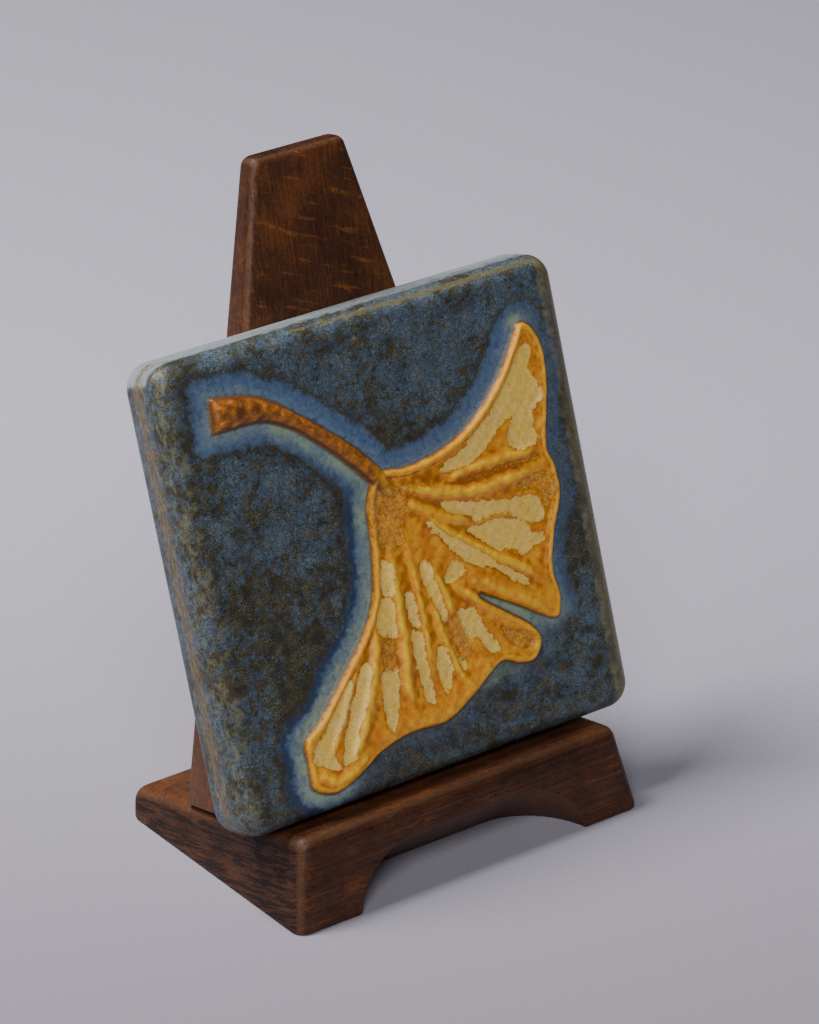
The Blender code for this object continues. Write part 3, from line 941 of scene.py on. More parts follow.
@dataclass
class GinkgoLeaf:
    """The leaf in relief, drawn on the tile's face in mm. Each of the stem's points carries its radius."""

    floor: float = 1.15
    rim_height: float = 0.70
    rim_inner: float = 0.7
    rim_outer: float = 2.6
    ridge_gain: float = 1.05
    unevenness: float = 0.10
    stem_unevenness: float = 0.22
    upper_margin: Line = field(default_factory=lambda: [
        (-3.4, 66.6), (3.8, 66.0), (11.3, 66.8), (18.8, 69.2), (26.0, 73.9), (31.8, 79.4), (36.2, 85.4)])
    tip: Line = field(default_factory=lambda: [
        (38.4, 88.0), (41.4, 86.4), (43.2, 81.4), (42.9, 75.0), (41.4, 68.4)])
    right_margin: Line = field(default_factory=lambda: [
        (39.6, 61.0), (40.7, 56.6), (40.6, 50.0), (37.4, 42.8), (35.2, 35.4)])
    upper_lobe: Line = field(default_factory=lambda: [
        (36.0, 29.4), (34.5, 24.6), (30.6, 26.0), (24.7, 29.9)])
    slit_end: Line = field(default_factory=lambda: [(16.4, 34.8), (16.6, 33.6)])
    lower_lobe: Line = field(default_factory=lambda: [
        (22.4, 28.9), (27.4, 24.8), (29.0, 21.0), (26.4, 17.4), (22.4, 17.8), (18.2, 19.4)])
    lower_margin: Line = field(default_factory=lambda: [
        (14.0, 17.2), (8.7, 14.0), (1.7, 11.1), (-7.3, 11.4), (-15.6, 9.8), (-22.4, 6.4)])
    corner_lobe: Line = field(default_factory=lambda: [
        (-28.8, 4.9), (-33.6, 7.4), (-33.6, 12.4), (-33.4, 17.4)])
    left_margin: Line = field(default_factory=lambda: [
        (-28.6, 21.0), (-20.6, 28.8), (-14.6, 35.0), (-10.8, 41.0), (-9.0, 48.0), (-8.0, 55.0), (-7.2, 61.6)])
    stem: list[tuple[float, float, float]] = field(default_factory=lambda: [
        (-39.4, 88.2, 3.7), (-35.5, 87.8, 3.5), (-31.0, 87.3, 3.1), (-26.0, 85.7, 2.3), (-20.0, 81.9, 1.7),
        (-14.5, 77.3, 1.8), (-8.9, 72.0, 2.0), (-4.0, 66.2, 2.0), (-1.6, 62.2, 1.5)])
    ridges: dict[str, Ridge] = field(default_factory=lambda: {
        "upper": Ridge(
            [(12.5, 61.0), (17.5, 61.4), (22.5, 61.6), (28.0, 61.6), (33.5, 61.2), (37.5, 62.0)], 1.5, 0.8),
        "long upper": Ridge([(3.5, 61.3), (10.0, 58.9), (18.0, 56.9), (28.0, 56.9), (38.0, 57.7)], 2.0, 1.05),
        "branch": Ridge([(1.8, 59.2), (6.4, 55.9), (12.0, 52.5), (16.4, 51.2)], 1.6, 0.9),
        "middle": Ridge([(5.5, 55.0), (11.5, 49.3), (19.0, 43.2), (25.8, 38.9), (32.5, 33.6)], 1.7, 0.95),
        "short": Ridge([(4.4, 44.4), (6.6, 38.4), (7.8, 32.4)], 1.3, 0.9),
        "thin": Ridge([(-0.1, 50.2), (0.4, 40.2), (0.3, 29.2), (-0.1, 22.0)], 1.2, 0.6),
        "spine": Ridge([(-4.4, 49.2), (-5.0, 40.2), (-5.3, 31.2), (-6.5, 22.2), (-6.0, 15.0)], 1.7, 1.05),
        "right low": Ridge([(3.4, 35.7), (4.6, 28.2), (7.0, 20.2), (10.0, 15.5)], 1.2, 0.65),
        "left": Ridge([(-11.6, 34.6), (-13.9, 27.2), (-16.6, 21.0), (-20.4, 14.2), (-25.0, 8.5)], 1.9, 1.0),
        "left outer": Ridge([(-18.0, 29.0), (-21.7, 22.7), (-25.7, 16.4), (-28.5, 12.0)], 1.0, 0.55),
        "terrace": Ridge([(17.0, 50.0), (22.0, 50.2), (28.0, 49.5), (34.0, 47.0)], 0.9, 0.35),
        "slit": Ridge(
            [(10.2, 38.2), (14.9, 33.9), (19.6, 30.3), (24.4, 26.9), (27.6, 22.6), (26.6, 18.9)],
            1.4, 1.0, 0.05),
        "slit brow": Ridge([(11.5, 38.0), (17.0, 37.4), (23.0, 33.6), (30.0, 29.4), (34.0, 27.0)], 2.6, 0.55),
        "lobe curl": Ridge([(-32.3, 10.0), (-28.0, 7.2), (-22.4, 9.0), (-18.0, 12.2)], 1.6, 0.75),
        "hem": Ridge([(-17.0, 13.5), (-8.0, 14.0), (2.0, 14.0), (9.0, 17.0), (15.0, 20.5)], 3.2, 0.55, 0.05),
    })
    pools: dict[str, Line] = field(default_factory=lambda: {
        "upper": [(38.5, 83), (39.5, 81), (38, 78), (40, 74), (40, 71.5), (37, 69), (37, 63), (34.5, 62),
                  (31, 62.5), (30.5, 65.5), (32.5, 69.5), (28, 68), (23.5, 65), (19, 62.5), (12, 63),
                  (17.5, 65), (22, 68), (27, 71), (30, 74.5), (34, 78.5), (35, 80.5)],
        "terrace": [(10.5, 56.5), (14.5, 55.5), (19, 54), (28, 52), (33, 51.5), (35, 49.5), (34.5, 46.5),
                    (30, 47.5), (25, 50.5), (18, 50.5), (17, 52), (12, 54)],
        "terrace low": [(16, 49), (19.5, 49), (23.5, 49), (28, 47.5), (30.5, 46), (31, 42), (28.5, 40.5),
                        (26, 42.5), (22, 43), (19, 46)],
        "notch": [(31, 42), (32, 43.5), (34, 43), (33, 41.5)],
        "long strip": [(6, 54), (6.5, 52), (9, 49.5), (10.5, 47), (14.5, 42.5), (20, 40), (20.5, 41),
                       (16.5, 45), (10, 50)],
        "strip end": [(21, 40), (23.5, 38.5), (28.5, 34.5), (27.5, 34), (25, 35.5), (22.5, 38)],
        "drop": [(7.5, 40), (10, 43), (11.5, 43), (13, 41.5), (12, 40.5), (9.5, 40)],
        "short strip": [(2.5, 45), (4.5, 44.5), (5.5, 39), (6.5, 32.5), (5, 33), (3, 41)],
        "left column": [(-7, 48), (-4.5, 47), (-5.5, 41.5), (-7.5, 41.5), (-8, 44)],
        "left column low": [(-8.5, 40.5), (-6, 39.5), (-6.5, 36.5), (-7, 32.5), (-10, 33.5), (-11, 35.5)],
        "foot": [(-11.5, 26), (-8.5, 26), (-9, 21.5), (-11, 15), (-13, 14), (-12.5, 21.5)],
        "lobe inner": [(-16.5, 28.5), (-14.5, 27.5), (-17, 21.5), (-20.5, 16), (-22.5, 10.5), (-25, 10.5),
                       (-24, 14), (-21, 20.5)],
        "lobe outer": [(-21.5, 25.5), (-20, 26), (-23.5, 19), (-27.5, 14.5), (-27, 10), (-29, 11),
                       (-32.5, 13.5), (-28, 18)],
        "centre": [(-2.5, 32), (-0.8, 31), (-1, 26), (-0.8, 19), (-1, 16), (-2.5, 18.5), (-3, 29.5)],
        "centre top": [(-2.5, 40), (-1, 39), (-0.8, 33.5), (-2, 33.5), (-2.7, 36)],
        "blade": [(4, 27.5), (5, 22), (3, 17.5), (2, 20.5), (2, 24)],
        "crook": [(9.5, 32.5), (13, 32.5), (14.5, 28.5), (17.5, 23), (15.5, 22.5), (13.5, 26.5), (11.5, 26.5),
                  (9.5, 23.5), (9.5, 29.5)],
        "speck": [(7, 23.5), (8.5, 23), (8.5, 21), (7.5, 21.5)],
    })
    speckled: dict[str, Line] = field(default_factory=lambda: {
        "leaf base": [(-6.5, 63), (0.5, 63.5), (5.5, 62.5), (15, 61.5), (9, 60.5), (4, 60), (1, 56), (-1, 50),
                      (-7, 51)],
        "upper strip": [(13, 60), (24, 60), (36, 60.5), (36, 58.6), (28, 58.4), (18, 58.6)],
        "right end": [(30, 56), (38.5, 56), (39.5, 51), (36, 48), (35, 52.5), (30, 53.5)],
        "lower lobe": [(19, 27.5), (21.5, 26), (27, 23), (26, 20.5), (23.5, 20.5), (19.5, 24)],
        "foot top": [(-11.5, 32), (-7.5, 32), (-8, 26.5), (-11.5, 26.5)],
        "crumbs": [(6, 32), (9, 32), (11, 24), (8, 23), (6.5, 27)],
    })

    def outline(self) -> tuple[np.ndarray, np.ndarray]:
        """Join the margins into one outline, clockwise from the stem.

        Returns:
            The outline, and how strongly the leaf's rim stands up at each of its points.
        """
        strengths = [
            (self.upper_margin, 1.0), (self.tip, 0.75), (self.right_margin, 0.85), (self.upper_lobe, 0.25),
            (self.slit_end, 0.1), (self.lower_lobe, 0.35), (self.lower_margin, 0.15),
            (self.corner_lobe, 0.45), (self.left_margin, 0.9)]
        points = [point for margin, _ in strengths for point in margin]
        crests = np.array([crest for margin, crest in strengths for _ in margin])
        return smooth_line(points, closed=True, steps=8), crests

    def stem_relief(self, u: np.ndarray, v: np.ndarray) -> tuple[np.ndarray, np.ndarray]:
        """Shape the stem, a half round rod whose cut end is square.

        Args:
            u: The places across.
            v: The places up.

        Returns:
            The stem's height, and how deep each place lies inside its sides.
        """
        line = smooth_line([(place[0], place[1]) for place in self.stem])
        gap, along = distance_to(line, u, v)
        radii = np.array([place[2] for place in self.stem])
        radius = np.interp(along, np.linspace(0, 1, len(radii)), radii)
        depth = radius - gap
        run = Vector(line[1] - line[0]).normalized()
        behind = (u - line[0][0]) * run.x + (v - line[0][1]) * run.y
        depth = np.minimum(depth, behind + 0.25)
        share = np.clip(depth / radius, 0.0, 1.0)
        crest = 1.5 + 0.32 * radius
        bark = self.stem_unevenness * np.sin(1.5 * u + 2.0 * np.sin(0.7 * v)) * np.sin(1.3 * v + 1.0)
        return crest * np.sqrt(share * (2 - share)) + bark * ease(depth, 0.2, 1.2), depth

    def blade_relief(
        self, u: np.ndarray, v: np.ndarray, depth: np.ndarray, strength: np.ndarray
    ) -> tuple[np.ndarray, np.ndarray]:
        """Shape the blade: its wall, its rim, its ridges and the clay's fine unevenness.

        Args:
            u: The places across.
            v: The places up.
            depth: How deep each place lies inside the outline.
            strength: How strongly the rim stands up there.

        Returns:
            The blade's height, and the ridges' height alone.
        """
        wall = ease(depth, -0.35, 0.75)
        rim = self.rim_height * strength * (1.0 - ease(depth, self.rim_inner, self.rim_outer))
        ridges = np.zeros(u.shape)
        for ridge in self.ridges.values():
            ridges = np.hypot(ridges, self.ridge_gain * ridge.relief(u, v))
        waves = np.sin(1.9 * u + 0.7 * np.sin(1.1 * v)) * np.sin(1.7 * v + 0.9 * np.sin(0.8 * u))
        raised = np.maximum(rim, ridges * ease(depth, 0.0, 1.2))
        return wall * (self.floor + raised + self.unevenness * waves), ridges

    def pool_depths(self, u: np.ndarray, v: np.ndarray) -> tuple[np.ndarray, np.ndarray]:
        """Find the pools of cream glaze and the speckled patches.

        Args:
            u: The places across.
            v: The places up.

        Returns:
            How deep each place lies in a pool, below zero outside, and how speckled it is, from 0 to 1.
        """
        pool = np.full(u.shape, NO_POOL)
        for points in self.pools.values():
            inside, _ = distance_inside(smooth_line(points, closed=True, steps=3), u, v)
            pool = np.maximum(pool, inside)
        speckle = np.zeros(u.shape)
        for points in self.speckled.values():
            inside, _ = distance_inside(smooth_line(points, closed=True, steps=3), u, v)
            speckle = np.maximum(speckle, ease(inside, -1.8, 1.2))
            pool = np.maximum(pool, np.minimum(inside, 0.7) - 0.85)
        return pool, speckle


@dataclass
class LeafTile:
    """The pressed tile, in mm.

    The leaf sits lower than it is drawn, by leaf_drop. A blot is a place, a radius and how much browner or,
    below zero, bluer it is. A crater is a place and a radius, and a pale spot a place and its two radii.
    """

    easel: EaselFrame
    leaf: GinkgoLeaf = field(default_factory=GinkgoLeaf)
    width: float = 101.6
    height: float = 100.1
    leaf_drop: float = 0.7
    thickness: float = 12.7
    corner_radius: float = 5.5
    front_radius: float = 4.0
    back_radius: float = 2.0
    cells_across: int = 288
    cells_up: int = 284
    border_cells: int = 9
    back_steps: int = 4
    pool_sink: float = 0.22
    crater_lip: float = 0.12
    crater_depth: float = 0.35
    ripple_height: float = 0.18
    ridge_reach: float = 1.3
    full_ridge: float = 0.38
    blots: list[tuple[float, float, float, float]] = field(default_factory=lambda: [
        (-34, 42, 11, 0.9), (-28, 30, 8, 0.8), (-32, 18, 8, 0.4), (-25, 60, 9, -0.5), (-36, 72, 6, -0.3),
        (-36, 93, 8, -0.5), (-43, 86, 5, 0.5), (-15, 89, 8, -0.8), (-11, 80, 5, -0.3), (3, 73, 7, 0.6),
        (8, 81, 6, -0.3), (14, 87, 8, -0.4), (22, 79, 6, 0.1), (26, 88, 6, -0.3), (16, 96, 12, -0.6),
        (38, 94, 9, -0.8), (30, 15, 9, 0.1), (12, 6, 8, 0.5), (-6, 4, 8, 0.3), (-38, 10, 7, 0.2),
        (38, 8, 8, -0.3), (42, 34, 6, 0.8), (45, 55, 6, -0.3), (44, 24, 5, -0.5), (-12, 62, 5, 0.5)])
    craters: list[tuple[float, float, float]] = field(default_factory=lambda: [
        (-24.0, 54.0, 0.9), (-35.0, 20.5, 1.1), (-1.0, 90.0, 0.8), (1.6, 91.2, 0.6), (-20.5, 36.5, 0.7),
        (-36.0, 78.0, 0.7), (-27.0, 66.0, 0.6), (45.5, 88.0, 0.9)])
    pale_spots: dict[str, tuple[Point, Point]] = field(default_factory=lambda: {
        "under the lobe": ((17.0, 16.6), (4.5, 1.9)),
        "past the tip": ((38.0, 88.5), (3.2, 1.8)),
        "in the slit": ((20.5, 31.8), (2.5, 1.5)),
    })

    def spacing(self, cells: int, size: float) -> np.ndarray:
        """Place the grid's lines: close together round the rounded border, even between.

        Args:
            cells: How many cells lie between the two sides.
            size: The tile's size that way.

        Returns:
            The lines' places from the middle.
        """
        turn = np.linspace(0, math.pi / 2, self.border_cells + 1)
        border = self.front_radius * (1 - np.cos(turn))
        inner = np.linspace(self.front_radius, size - self.front_radius, cells - 2 * self.border_cells + 1)
        return np.concatenate([border[:-1], inner, size - border[-2::-1]]) - size / 2

    def rounded(self, x: np.ndarray, y: np.ndarray) -> tuple[np.ndarray, np.ndarray, np.ndarray]:
        """Round the plan's corners.

        Args:
            x: Places across from the middle.
            y: Places up from the middle.

        Returns:
            The moved places, and how far each lies inside the border.
        """
        inset = np.minimum(self.width / 2 - abs(x), self.height / 2 - abs(y))
        radius = np.maximum(self.corner_radius - inset, 1e-9)
        past_x = abs(x) - (self.width / 2 - inset - radius)
        past_y = abs(y) - (self.height / 2 - inset - radius)
        corner = (past_x > 0) & (past_y > 0) & (radius > 1e-6)
        most = np.maximum(np.maximum(past_x, past_y), 1e-9)
        turn = np.where(past_x >= past_y, past_y / most, 2 - past_x / most) * math.pi / 4
        moved_x = np.where(corner, abs(x) - past_x + most * np.cos(turn), abs(x))
        moved_y = np.where(corner, abs(y) - past_y + most * np.sin(turn), abs(y))
        return np.sign(x) * moved_x, np.sign(y) * moved_y, inset

    def ripple(self, u: np.ndarray, v: np.ndarray) -> np.ndarray:
        """Work out the slow unevenness of hand-pressed clay.

        Args:
            u: Places across.
            v: Places up.

        Returns:
            The unevenness, from 0 to 1.
        """
        waves = [(0.11, 0.05, 0.4), (-0.06, 0.13, 2.1), (0.21, -0.17, 4.0), (0.33, 0.29, 1.3)]
        total = sum(np.sin(a * u + b * v + c) / (1 + number) for number, (a, b, c) in enumerate(waves))
        return 0.5 + total / 4.2

    def relief(self, u: np.ndarray, v: np.ndarray) -> tuple[np.ndarray, dict[str, np.ndarray]]:
        """Shape the face.

        Args:
            u: Places across, in grid order.
            v: Places up.

        Returns:
            The relief's height over the plain face, and the named values that the glaze reads.
        """
        leaf = self.leaf
        v = v + self.leaf_drop
        outline, crests = leaf.outline()
        depth, along = distance_inside(outline, u, v)
        strength = np.interp(along, np.linspace(0, 1, len(crests) + 1), np.append(crests, crests[0]))
        blade, ridges = leaf.blade_relief(u, v, depth, strength)
        stem, stem_depth = leaf.stem_relief(u, v)
        pool, speckle = leaf.pool_depths(u, v)
        pool = np.maximum(pool - 0.8 * ridges * ease(depth, 1.5, 2.5), NO_POOL)
        height = np.maximum(blade, stem) - self.pool_sink * ease(pool, -0.8, 0.4) * (depth > 0)
        for place_u, place_v, radius in self.craters:
            gap = np.hypot(u - place_u, v - place_v) / radius
            height = height + self.crater_lip * band(gap, 1.3, 0.35)
            height = height - self.crater_depth * (1 - ease(gap, 0.2, 1.1))
        values = {
            "shore": -np.maximum(depth, stem_depth),
            "pool": pool,
            "speckle": speckle,
            "stem": ease(stem_depth, -0.4, 0.2) * (1.0 - ease(u, -6.0, 0.0)),
            "margin": ease(depth, 2.4, 0.7),
            "brim": np.clip(strength, 0, 1),
        }
        values.update(self.ground_values(u, v))
        return height, values

    def ground_values(self, u: np.ndarray, v: np.ndarray) -> dict[str, np.ndarray]:
        """Mark the blots on the ground, and where each band of glaze round the leaf shows.

        Args:
            u: Places across.
            v: Places up.

        Returns:
            The named values that the glaze reads.
        """
        patch = np.zeros(u.shape)
        for place_u, place_v, radius, strength in self.blots:
            square = (u - place_u) ** 2 + (v - place_v) ** 2
            patch += strength * np.exp(-square / (2 * (radius * 0.7) ** 2))
        upper = ease(v, 60.0, 66.0) * ease(u + v - 66.0, -8.0, 0.0)
        left = (1.0 - ease(u + 0.9 * (v - 66.0), 0.0, 6.0)) * (1.0 - upper)
        lower = (1.0 - ease(v, 20.0, 27.0)) * ease(u, -28.0, -20.0)
        right = ease(u, 34.0, 41.0)
        bough = smooth_line([(place[0], place[1]) for place in self.leaf.stem])
        under = ease(np.interp(u, bough[:, 0], bough[:, 1]) - v, -1.0, 1.5)
        butt = (1.0 - ease(u, -30.0, -23.0)) * ease(v, 72.0, 76.0)
        fringe = np.clip(left * under * (1.0 - butt * 0.7) + butt * 0.15, 0, 1) * (1.0 - lower)
        spots = [
            band(u, place[0], reach[0]) * band(v, place[1], reach[1])
            for place, reach in self.pale_spots.values()]
        return {
            "patch": patch,
            "clean": np.clip(1.0 - 0.85 * lower - 0.6 * right, 0, 1),
            "navy": np.clip(left * ease(72.0 - v, 0, 12), 0, 1),
            "celadon": np.clip(np.maximum.reduce([fringe, *spots]), 0, 1),
        }

    def border_values(self, places: np.ndarray, inset: np.ndarray) -> dict[str, np.ndarray]:
        """Mark where the glaze breaks on the rounded border and sides, and where a pale blue lies on them
        that is partly painted light.

        Args:
            places: Vertices on the face in mm, one a row.
            inset: How far each lies inside the border, below zero on the sides.

        Returns:
            The named values that the glaze reads.
        """
        u, v, w = places.T
        left = ease(-u, 45.0, 47.0)
        right = ease(u, 44.5, 46.5)
        top = ease(v, self.height - 5.0, self.height - 3.0)
        on_side = ease(w, 2.5, 4.5)
        olive_left = left * (1.0 - on_side) * 0.36
        olive_right = right * band(w, 0.9, 1.0) * 1.1
        olive_top = top * band(w, 1.3, 0.5) * (inset < 3.5) * ease(u, -40.0, 10.0) * 0.95
        tan_left = left * band(w, 6.4, 2.0) * 0.85
        tan_top = top * band(w, 5.6, 1.6) * (0.35 + 0.55 * ease(u, -45.0, 20.0))
        # The value named light: a pale blue on the top and towards the back of the sides. It is partly the
        # glaze's own colour and partly painted light: the top, which faces the lamps, is painted paler, and
        # the lit left side is less pale than the right.
        back = ease(w, 8.0, 9.5) * (0.12 * left + 0.28 * right)
        return {
            "olive": np.maximum.reduce([olive_left, olive_right, olive_top]),
            "tan": np.maximum(tan_left, tan_top),
            "bare": ease(w, self.thickness - 0.7, self.thickness - 0.1),
            "light": np.clip(np.maximum(back, top * on_side * 0.95 - tan_top), 0, 1),
        }

    def build(self) -> bpy.types.Object:
        """Model the tile from a grid whose border is rolled over and drawn back.

        Returns:
            The tile in its place.
        """
        deselect_all()
        bpy.ops.mesh.primitive_grid_add(
            x_subdivisions=self.cells_across, y_subdivisions=self.cells_up, size=1.0)
        piece = start_piece("glazed_tile")
        bpy.ops.object.mode_set(mode="OBJECT")
        across = self.spacing(self.cells_across, self.width)
        up = self.spacing(self.cells_up, self.height)
        flat = vertex_places(piece.data)
        column = np.rint((flat[:, 0] + 0.5) * self.cells_across).astype(int)
        row = np.rint((flat[:, 1] + 0.5) * self.cells_up).astype(int)
        x, y, inset = self.rounded(across[column], up[row])
        roll = np.clip(self.front_radius - inset, 0.0, self.front_radius)
        w = self.front_radius - np.sqrt(self.front_radius**2 - roll**2)
        v = y + self.height / 2
        height, values = self.relief(x, v)
        order = np.argsort(row * (self.cells_across + 1) + column)
        grid = height[order].reshape(self.cells_up + 1, self.cells_across + 1)
        cell = (self.width - 2 * self.front_radius) / (self.cells_across - 2 * self.border_cells)
        bulge = np.empty(len(order))
        bulge[order] = (grid - blurred(grid, self.ridge_reach / cell)).ravel()
        values["ridge"] = np.clip(bulge / self.full_ridge, -1.0, 1.0)
        sag = self.ripple_height * self.ripple(x, v)
        places = np.column_stack([x, w - height + sag, v]) * MM
        piece.data.vertices.foreach_set("co", places.astype(np.float32).ravel())

        self.draw_back(piece)
        self.name_values(piece, values)
        deselect_all()
        piece.select_set(True)
        bpy.context.view_layer.objects.active = piece
        bpy.ops.object.shade_smooth()
        corner, lean = self.pose()
        place_piece(piece, self.easel.leaning(corner, lean))
        return piece

    def draw_back(self, piece: bpy.types.Object) -> None:
        """Draw the border back into sides, round them under and close the back.

        Args:
            piece: The tile's face, in its own frame.
        """
        bpy.ops.object.mode_set(mode="EDIT")
        bpy.ops.mesh.select_mode(type="EDGE")
        bpy.ops.mesh.select_all(action="DESELECT")
        bpy.ops.mesh.select_non_manifold()
        middle = Vector((0.0, 0.0, self.height / 2)) * MM
        straight = self.thickness - self.front_radius - self.back_radius
        for _ in range(2):
            bpy.ops.mesh.extrude_region_move(TRANSFORM_OT_translate={"value": (0.0, straight * MM / 2, 0.0)})
        drawn, drop = 0.0, 0.0
        for step in range(1, self.back_steps + 1):
            turn = math.pi / 2 * step / self.back_steps
            sunk, in_by = self.back_radius * math.sin(turn), self.back_radius * (1 - math.cos(turn))
            bpy.ops.mesh.extrude_region_move(TRANSFORM_OT_translate={"value": (0.0, (sunk - drop) * MM, 0.0)})
            shrink_x = (self.width / 2 - in_by) / (self.width / 2 - drawn)
            shrink_z = (self.height / 2 - in_by) / (self.height / 2 - drawn)
            bpy.ops.transform.resize(value=(shrink_x, 1.0, shrink_z), center_override=middle)
            drawn, drop = in_by, sunk
        bpy.ops.mesh.edge_face_add()
        bpy.ops.mesh.select_all(action="SELECT")
        bpy.ops.mesh.normals_make_consistent(inside=False)
        bpy.ops.object.mode_set(mode="OBJECT")

    def name_values(self, piece: bpy.types.Object, values: dict[str, np.ndarray]) -> None:
        """Store the values that the glaze reads, first the face's and then those of sides and back.

        Args:
            piece: The tile, facing -Y on its bottom edge.
            values: The face's values, one a vertex of the grid.
        """
        places = vertex_places(piece.data) / MM
        u, w, v = places.T
        face = np.column_stack([u, v, w])
        beyond = {"shore": OPEN_FIELD, "pool": NO_POOL}
        count = len(values["shore"])
        for name, known in values.items():
            whole = np.full(len(places), beyond.get(name, 0.0))
            whole[:count] = known
            add_attribute(piece.data, name, whole)
        inset = np.minimum(self.width / 2 - abs(u), np.minimum(v, self.height - v))
        for name, whole in self.border_values(face, inset).items():
            add_attribute(piece.data, name, whole)
        add_attribute(piece.data, "face", face)

    def pose(self) -> tuple[Vector, float]:
        """Lean the tile on the easel.

        Returns:
            The tile's front bottom edge from the easel's origin, and its lean.
        """
        easel = self.easel
        radius = self.back_radius * MM
        lower = easel.upright_foot() + easel.up * (radius + CLEARANCE)
        lower -= easel.back * (easel.standoff + radius)
        extra = math.asin((easel.standoff - CLEARANCE) / (self.height * MM - 2 * radius))
        lean = easel.lean + extra
        along = Vector((0.0, math.sin(lean), math.cos(lean)))
        inward = Vector((0.0, math.cos(lean), -math.sin(lean)))
        corner = lower - along * radius - inward * (self.thickness * MM - radius)
        return corner, lean

    def dress(self, piece: bpy.types.Object) -> None:
        """Glaze the tile and tie it to its node.

        Args:
            piece: The tile.
        """
        piece.data.materials.append(MottledGlaze().material())
        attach(piece, ROOT)
        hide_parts("tile")


def name_wood_values(piece: bpy.types.Object, axes: tuple[Vector, Vector, Vector]) -> None:
    """Store the wood's own places in mm, where its rounded edges take a painted sheen, and how end-grained or
    flat-grained each is.

    Args:
        piece: The board in its own frame.
        axes: Unit vectors along the grain, across it, and through its rings.
    """
    places = vertex_places(piece.data) / MM
    add_attribute(piece.data, "grain", places @ np.array(axes).T)
    normals = np.empty(len(piece.data.vertices) * 3, np.float32)
    piece.data.vertices.foreach_get("normal", normals)
    shares = np.abs(normals.reshape(-1, 3) @ np.array(axes).T)
    # Painted highlight: how much of the paler sheen colour shows. It is highest on the rounded edges, where
    # the normal lies along no axis of the wood.
    add_attribute(piece.data, "edge_sheen", np.clip((1.0 - shares.max(axis=1)) / 0.25, 0.0, 1.0))
    add_attribute(piece.data, "end", ease(shares[:, 0], 0.75, 0.95))
    add_attribute(piece.data, "crown", ease(shares[:, 2], 0.6, 0.9))


@dataclass
class EaselBase:
    """The wedge that carries the tile."""

    easel: EaselFrame
    depth: float = 0.0631
    edge_radius: float = 0.0030
    foot_radius: float = 0.0008
    arch_half_width: float = 0.0296
    arch_rise: float = 0.0134
    arch_radius: float = 0.0170
    arch_shift: float = 0.0006
    cut_angle: float = math.radians(47.0)
    crisp_edge: float = 0.00035
    edge_segments: int = 7
    foot_segments: int = 3
    arch_segments: int = 14

    def arch_cutter(self) -> bpy.types.Object:
        """Model the slanting block that the arch is cut with.

        Returns:
            The cutter.
        """
        drop = math.sqrt(self.arch_radius**2 - (self.arch_radius - self.arch_rise) ** 2)
        half_width = self.arch_half_width - drop + self.arch_radius
        low = self.arch_rise - 2 * self.arch_radius
        reach = (self.arch_rise + self.easel.front_height) / math.sin(self.cut_angle)
        deselect_all()
        bpy.ops.mesh.primitive_cube_add(size=1.0)
        cutter = start_piece("arch cutter")
        bpy.ops.transform.resize(value=(2 * half_width, 2 * reach, 2 * self.arch_radius))
        bpy.ops.transform.translate(value=(self.arch_shift, 0.0, low + self.arch_radius))
        top = self.arch_rise
        select_where(cutter, "EDGE", lambda middle, run: middle.z > top - TOUCH and abs(run.y) > 0.9)
        bpy.ops.mesh.bevel(offset=self.arch_radius, segments=self.arch_segments, affect="EDGES")
        bpy.ops.mesh.select_all(action="SELECT")
        squeeze = math.cos(self.cut_angle - self.easel.lean)
        bpy.ops.transform.resize(value=(1.0, 1.0, squeeze), center_override=(0.0, 0.0, 0.0))
        bpy.ops.object.mode_set(mode="OBJECT")
        place_piece(cutter, Matrix.Rotation(-self.cut_angle, 4, "X"))
        return cutter

    def build(self) -> bpy.types.Object:
        """Saw the wedge from a block, round its edges and cut its arch.

        Returns:
            The base in its place.
        """
        easel = self.easel
        waste = 2 * easel.front_height
        deselect_all()
        bpy.ops.mesh.primitive_cube_add(size=1.0)
        piece = start_piece("oak_wedge")
        bpy.ops.transform.resize(value=(easel.base_width + waste, self.depth + waste, waste))
        bpy.ops.transform.translate(value=(0.0, self.depth / 2, waste / 2))
        slope = easel.side_slope
        cuts = [
            (Vector((0.0, 0.0, 0.0)), -easel.back),
            (Vector((0.0, self.depth, 0.0)), easel.back),
            (easel.up * easel.front_height, easel.up),
            (Vector((easel.base_width / 2, 0.0, 0.0)), Vector((math.cos(slope), 0.0, math.sin(slope)))),
            (Vector((-easel.base_width / 2, 0.0, 0.0)), Vector((-math.cos(slope), 0.0, math.sin(slope)))),
        ]
        for place, outward in cuts:
            bpy.ops.mesh.select_all(action="SELECT")
            bpy.ops.mesh.bisect(plane_co=place, plane_no=outward, use_fill=True, clear_outer=True)
        select_where(piece, "EDGE", lambda middle, run: middle.z > TOUCH)
        bpy.ops.mesh.bevel(offset=self.edge_radius, segments=self.edge_segments, affect="EDGES")
        select_where(piece, "EDGE", lambda middle, run: middle.z < TOUCH)
        bpy.ops.mesh.bevel(offset=self.foot_radius, segments=self.foot_segments, affect="EDGES")
        bpy.ops.object.mode_set(mode="OBJECT")
        cutter = self.arch_cutter()
        apply_modifier(piece, "BOOLEAN", operation="DIFFERENCE", solver="EXACT", object=cutter)
        bpy.data.objects.remove(cutter, do_unlink=True)
        apply_modifier(piece, "BEVEL", width=self.crisp_edge, segments=2, limit_method="ANGLE",
                       angle_limit=math.radians(40.0))
        bpy.ops.object.shade_smooth_by_angle(angle=SMOOTH_ANGLE)
        name_wood_values(piece, (Vector((1.0, 0.0, 0.0)), easel.back, easel.up))
        place_piece(piece, Matrix.Translation(easel.origin))
        return piece

    def dress(self, piece: bpy.types.Object) -> None:
        """Stain the base and tie it to its node.

        Args:
            piece: The base.
        """
        piece.data.materials.append(StainedOak(Board.BASE).material())
        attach(piece, ROOT)
        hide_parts("easel_base")


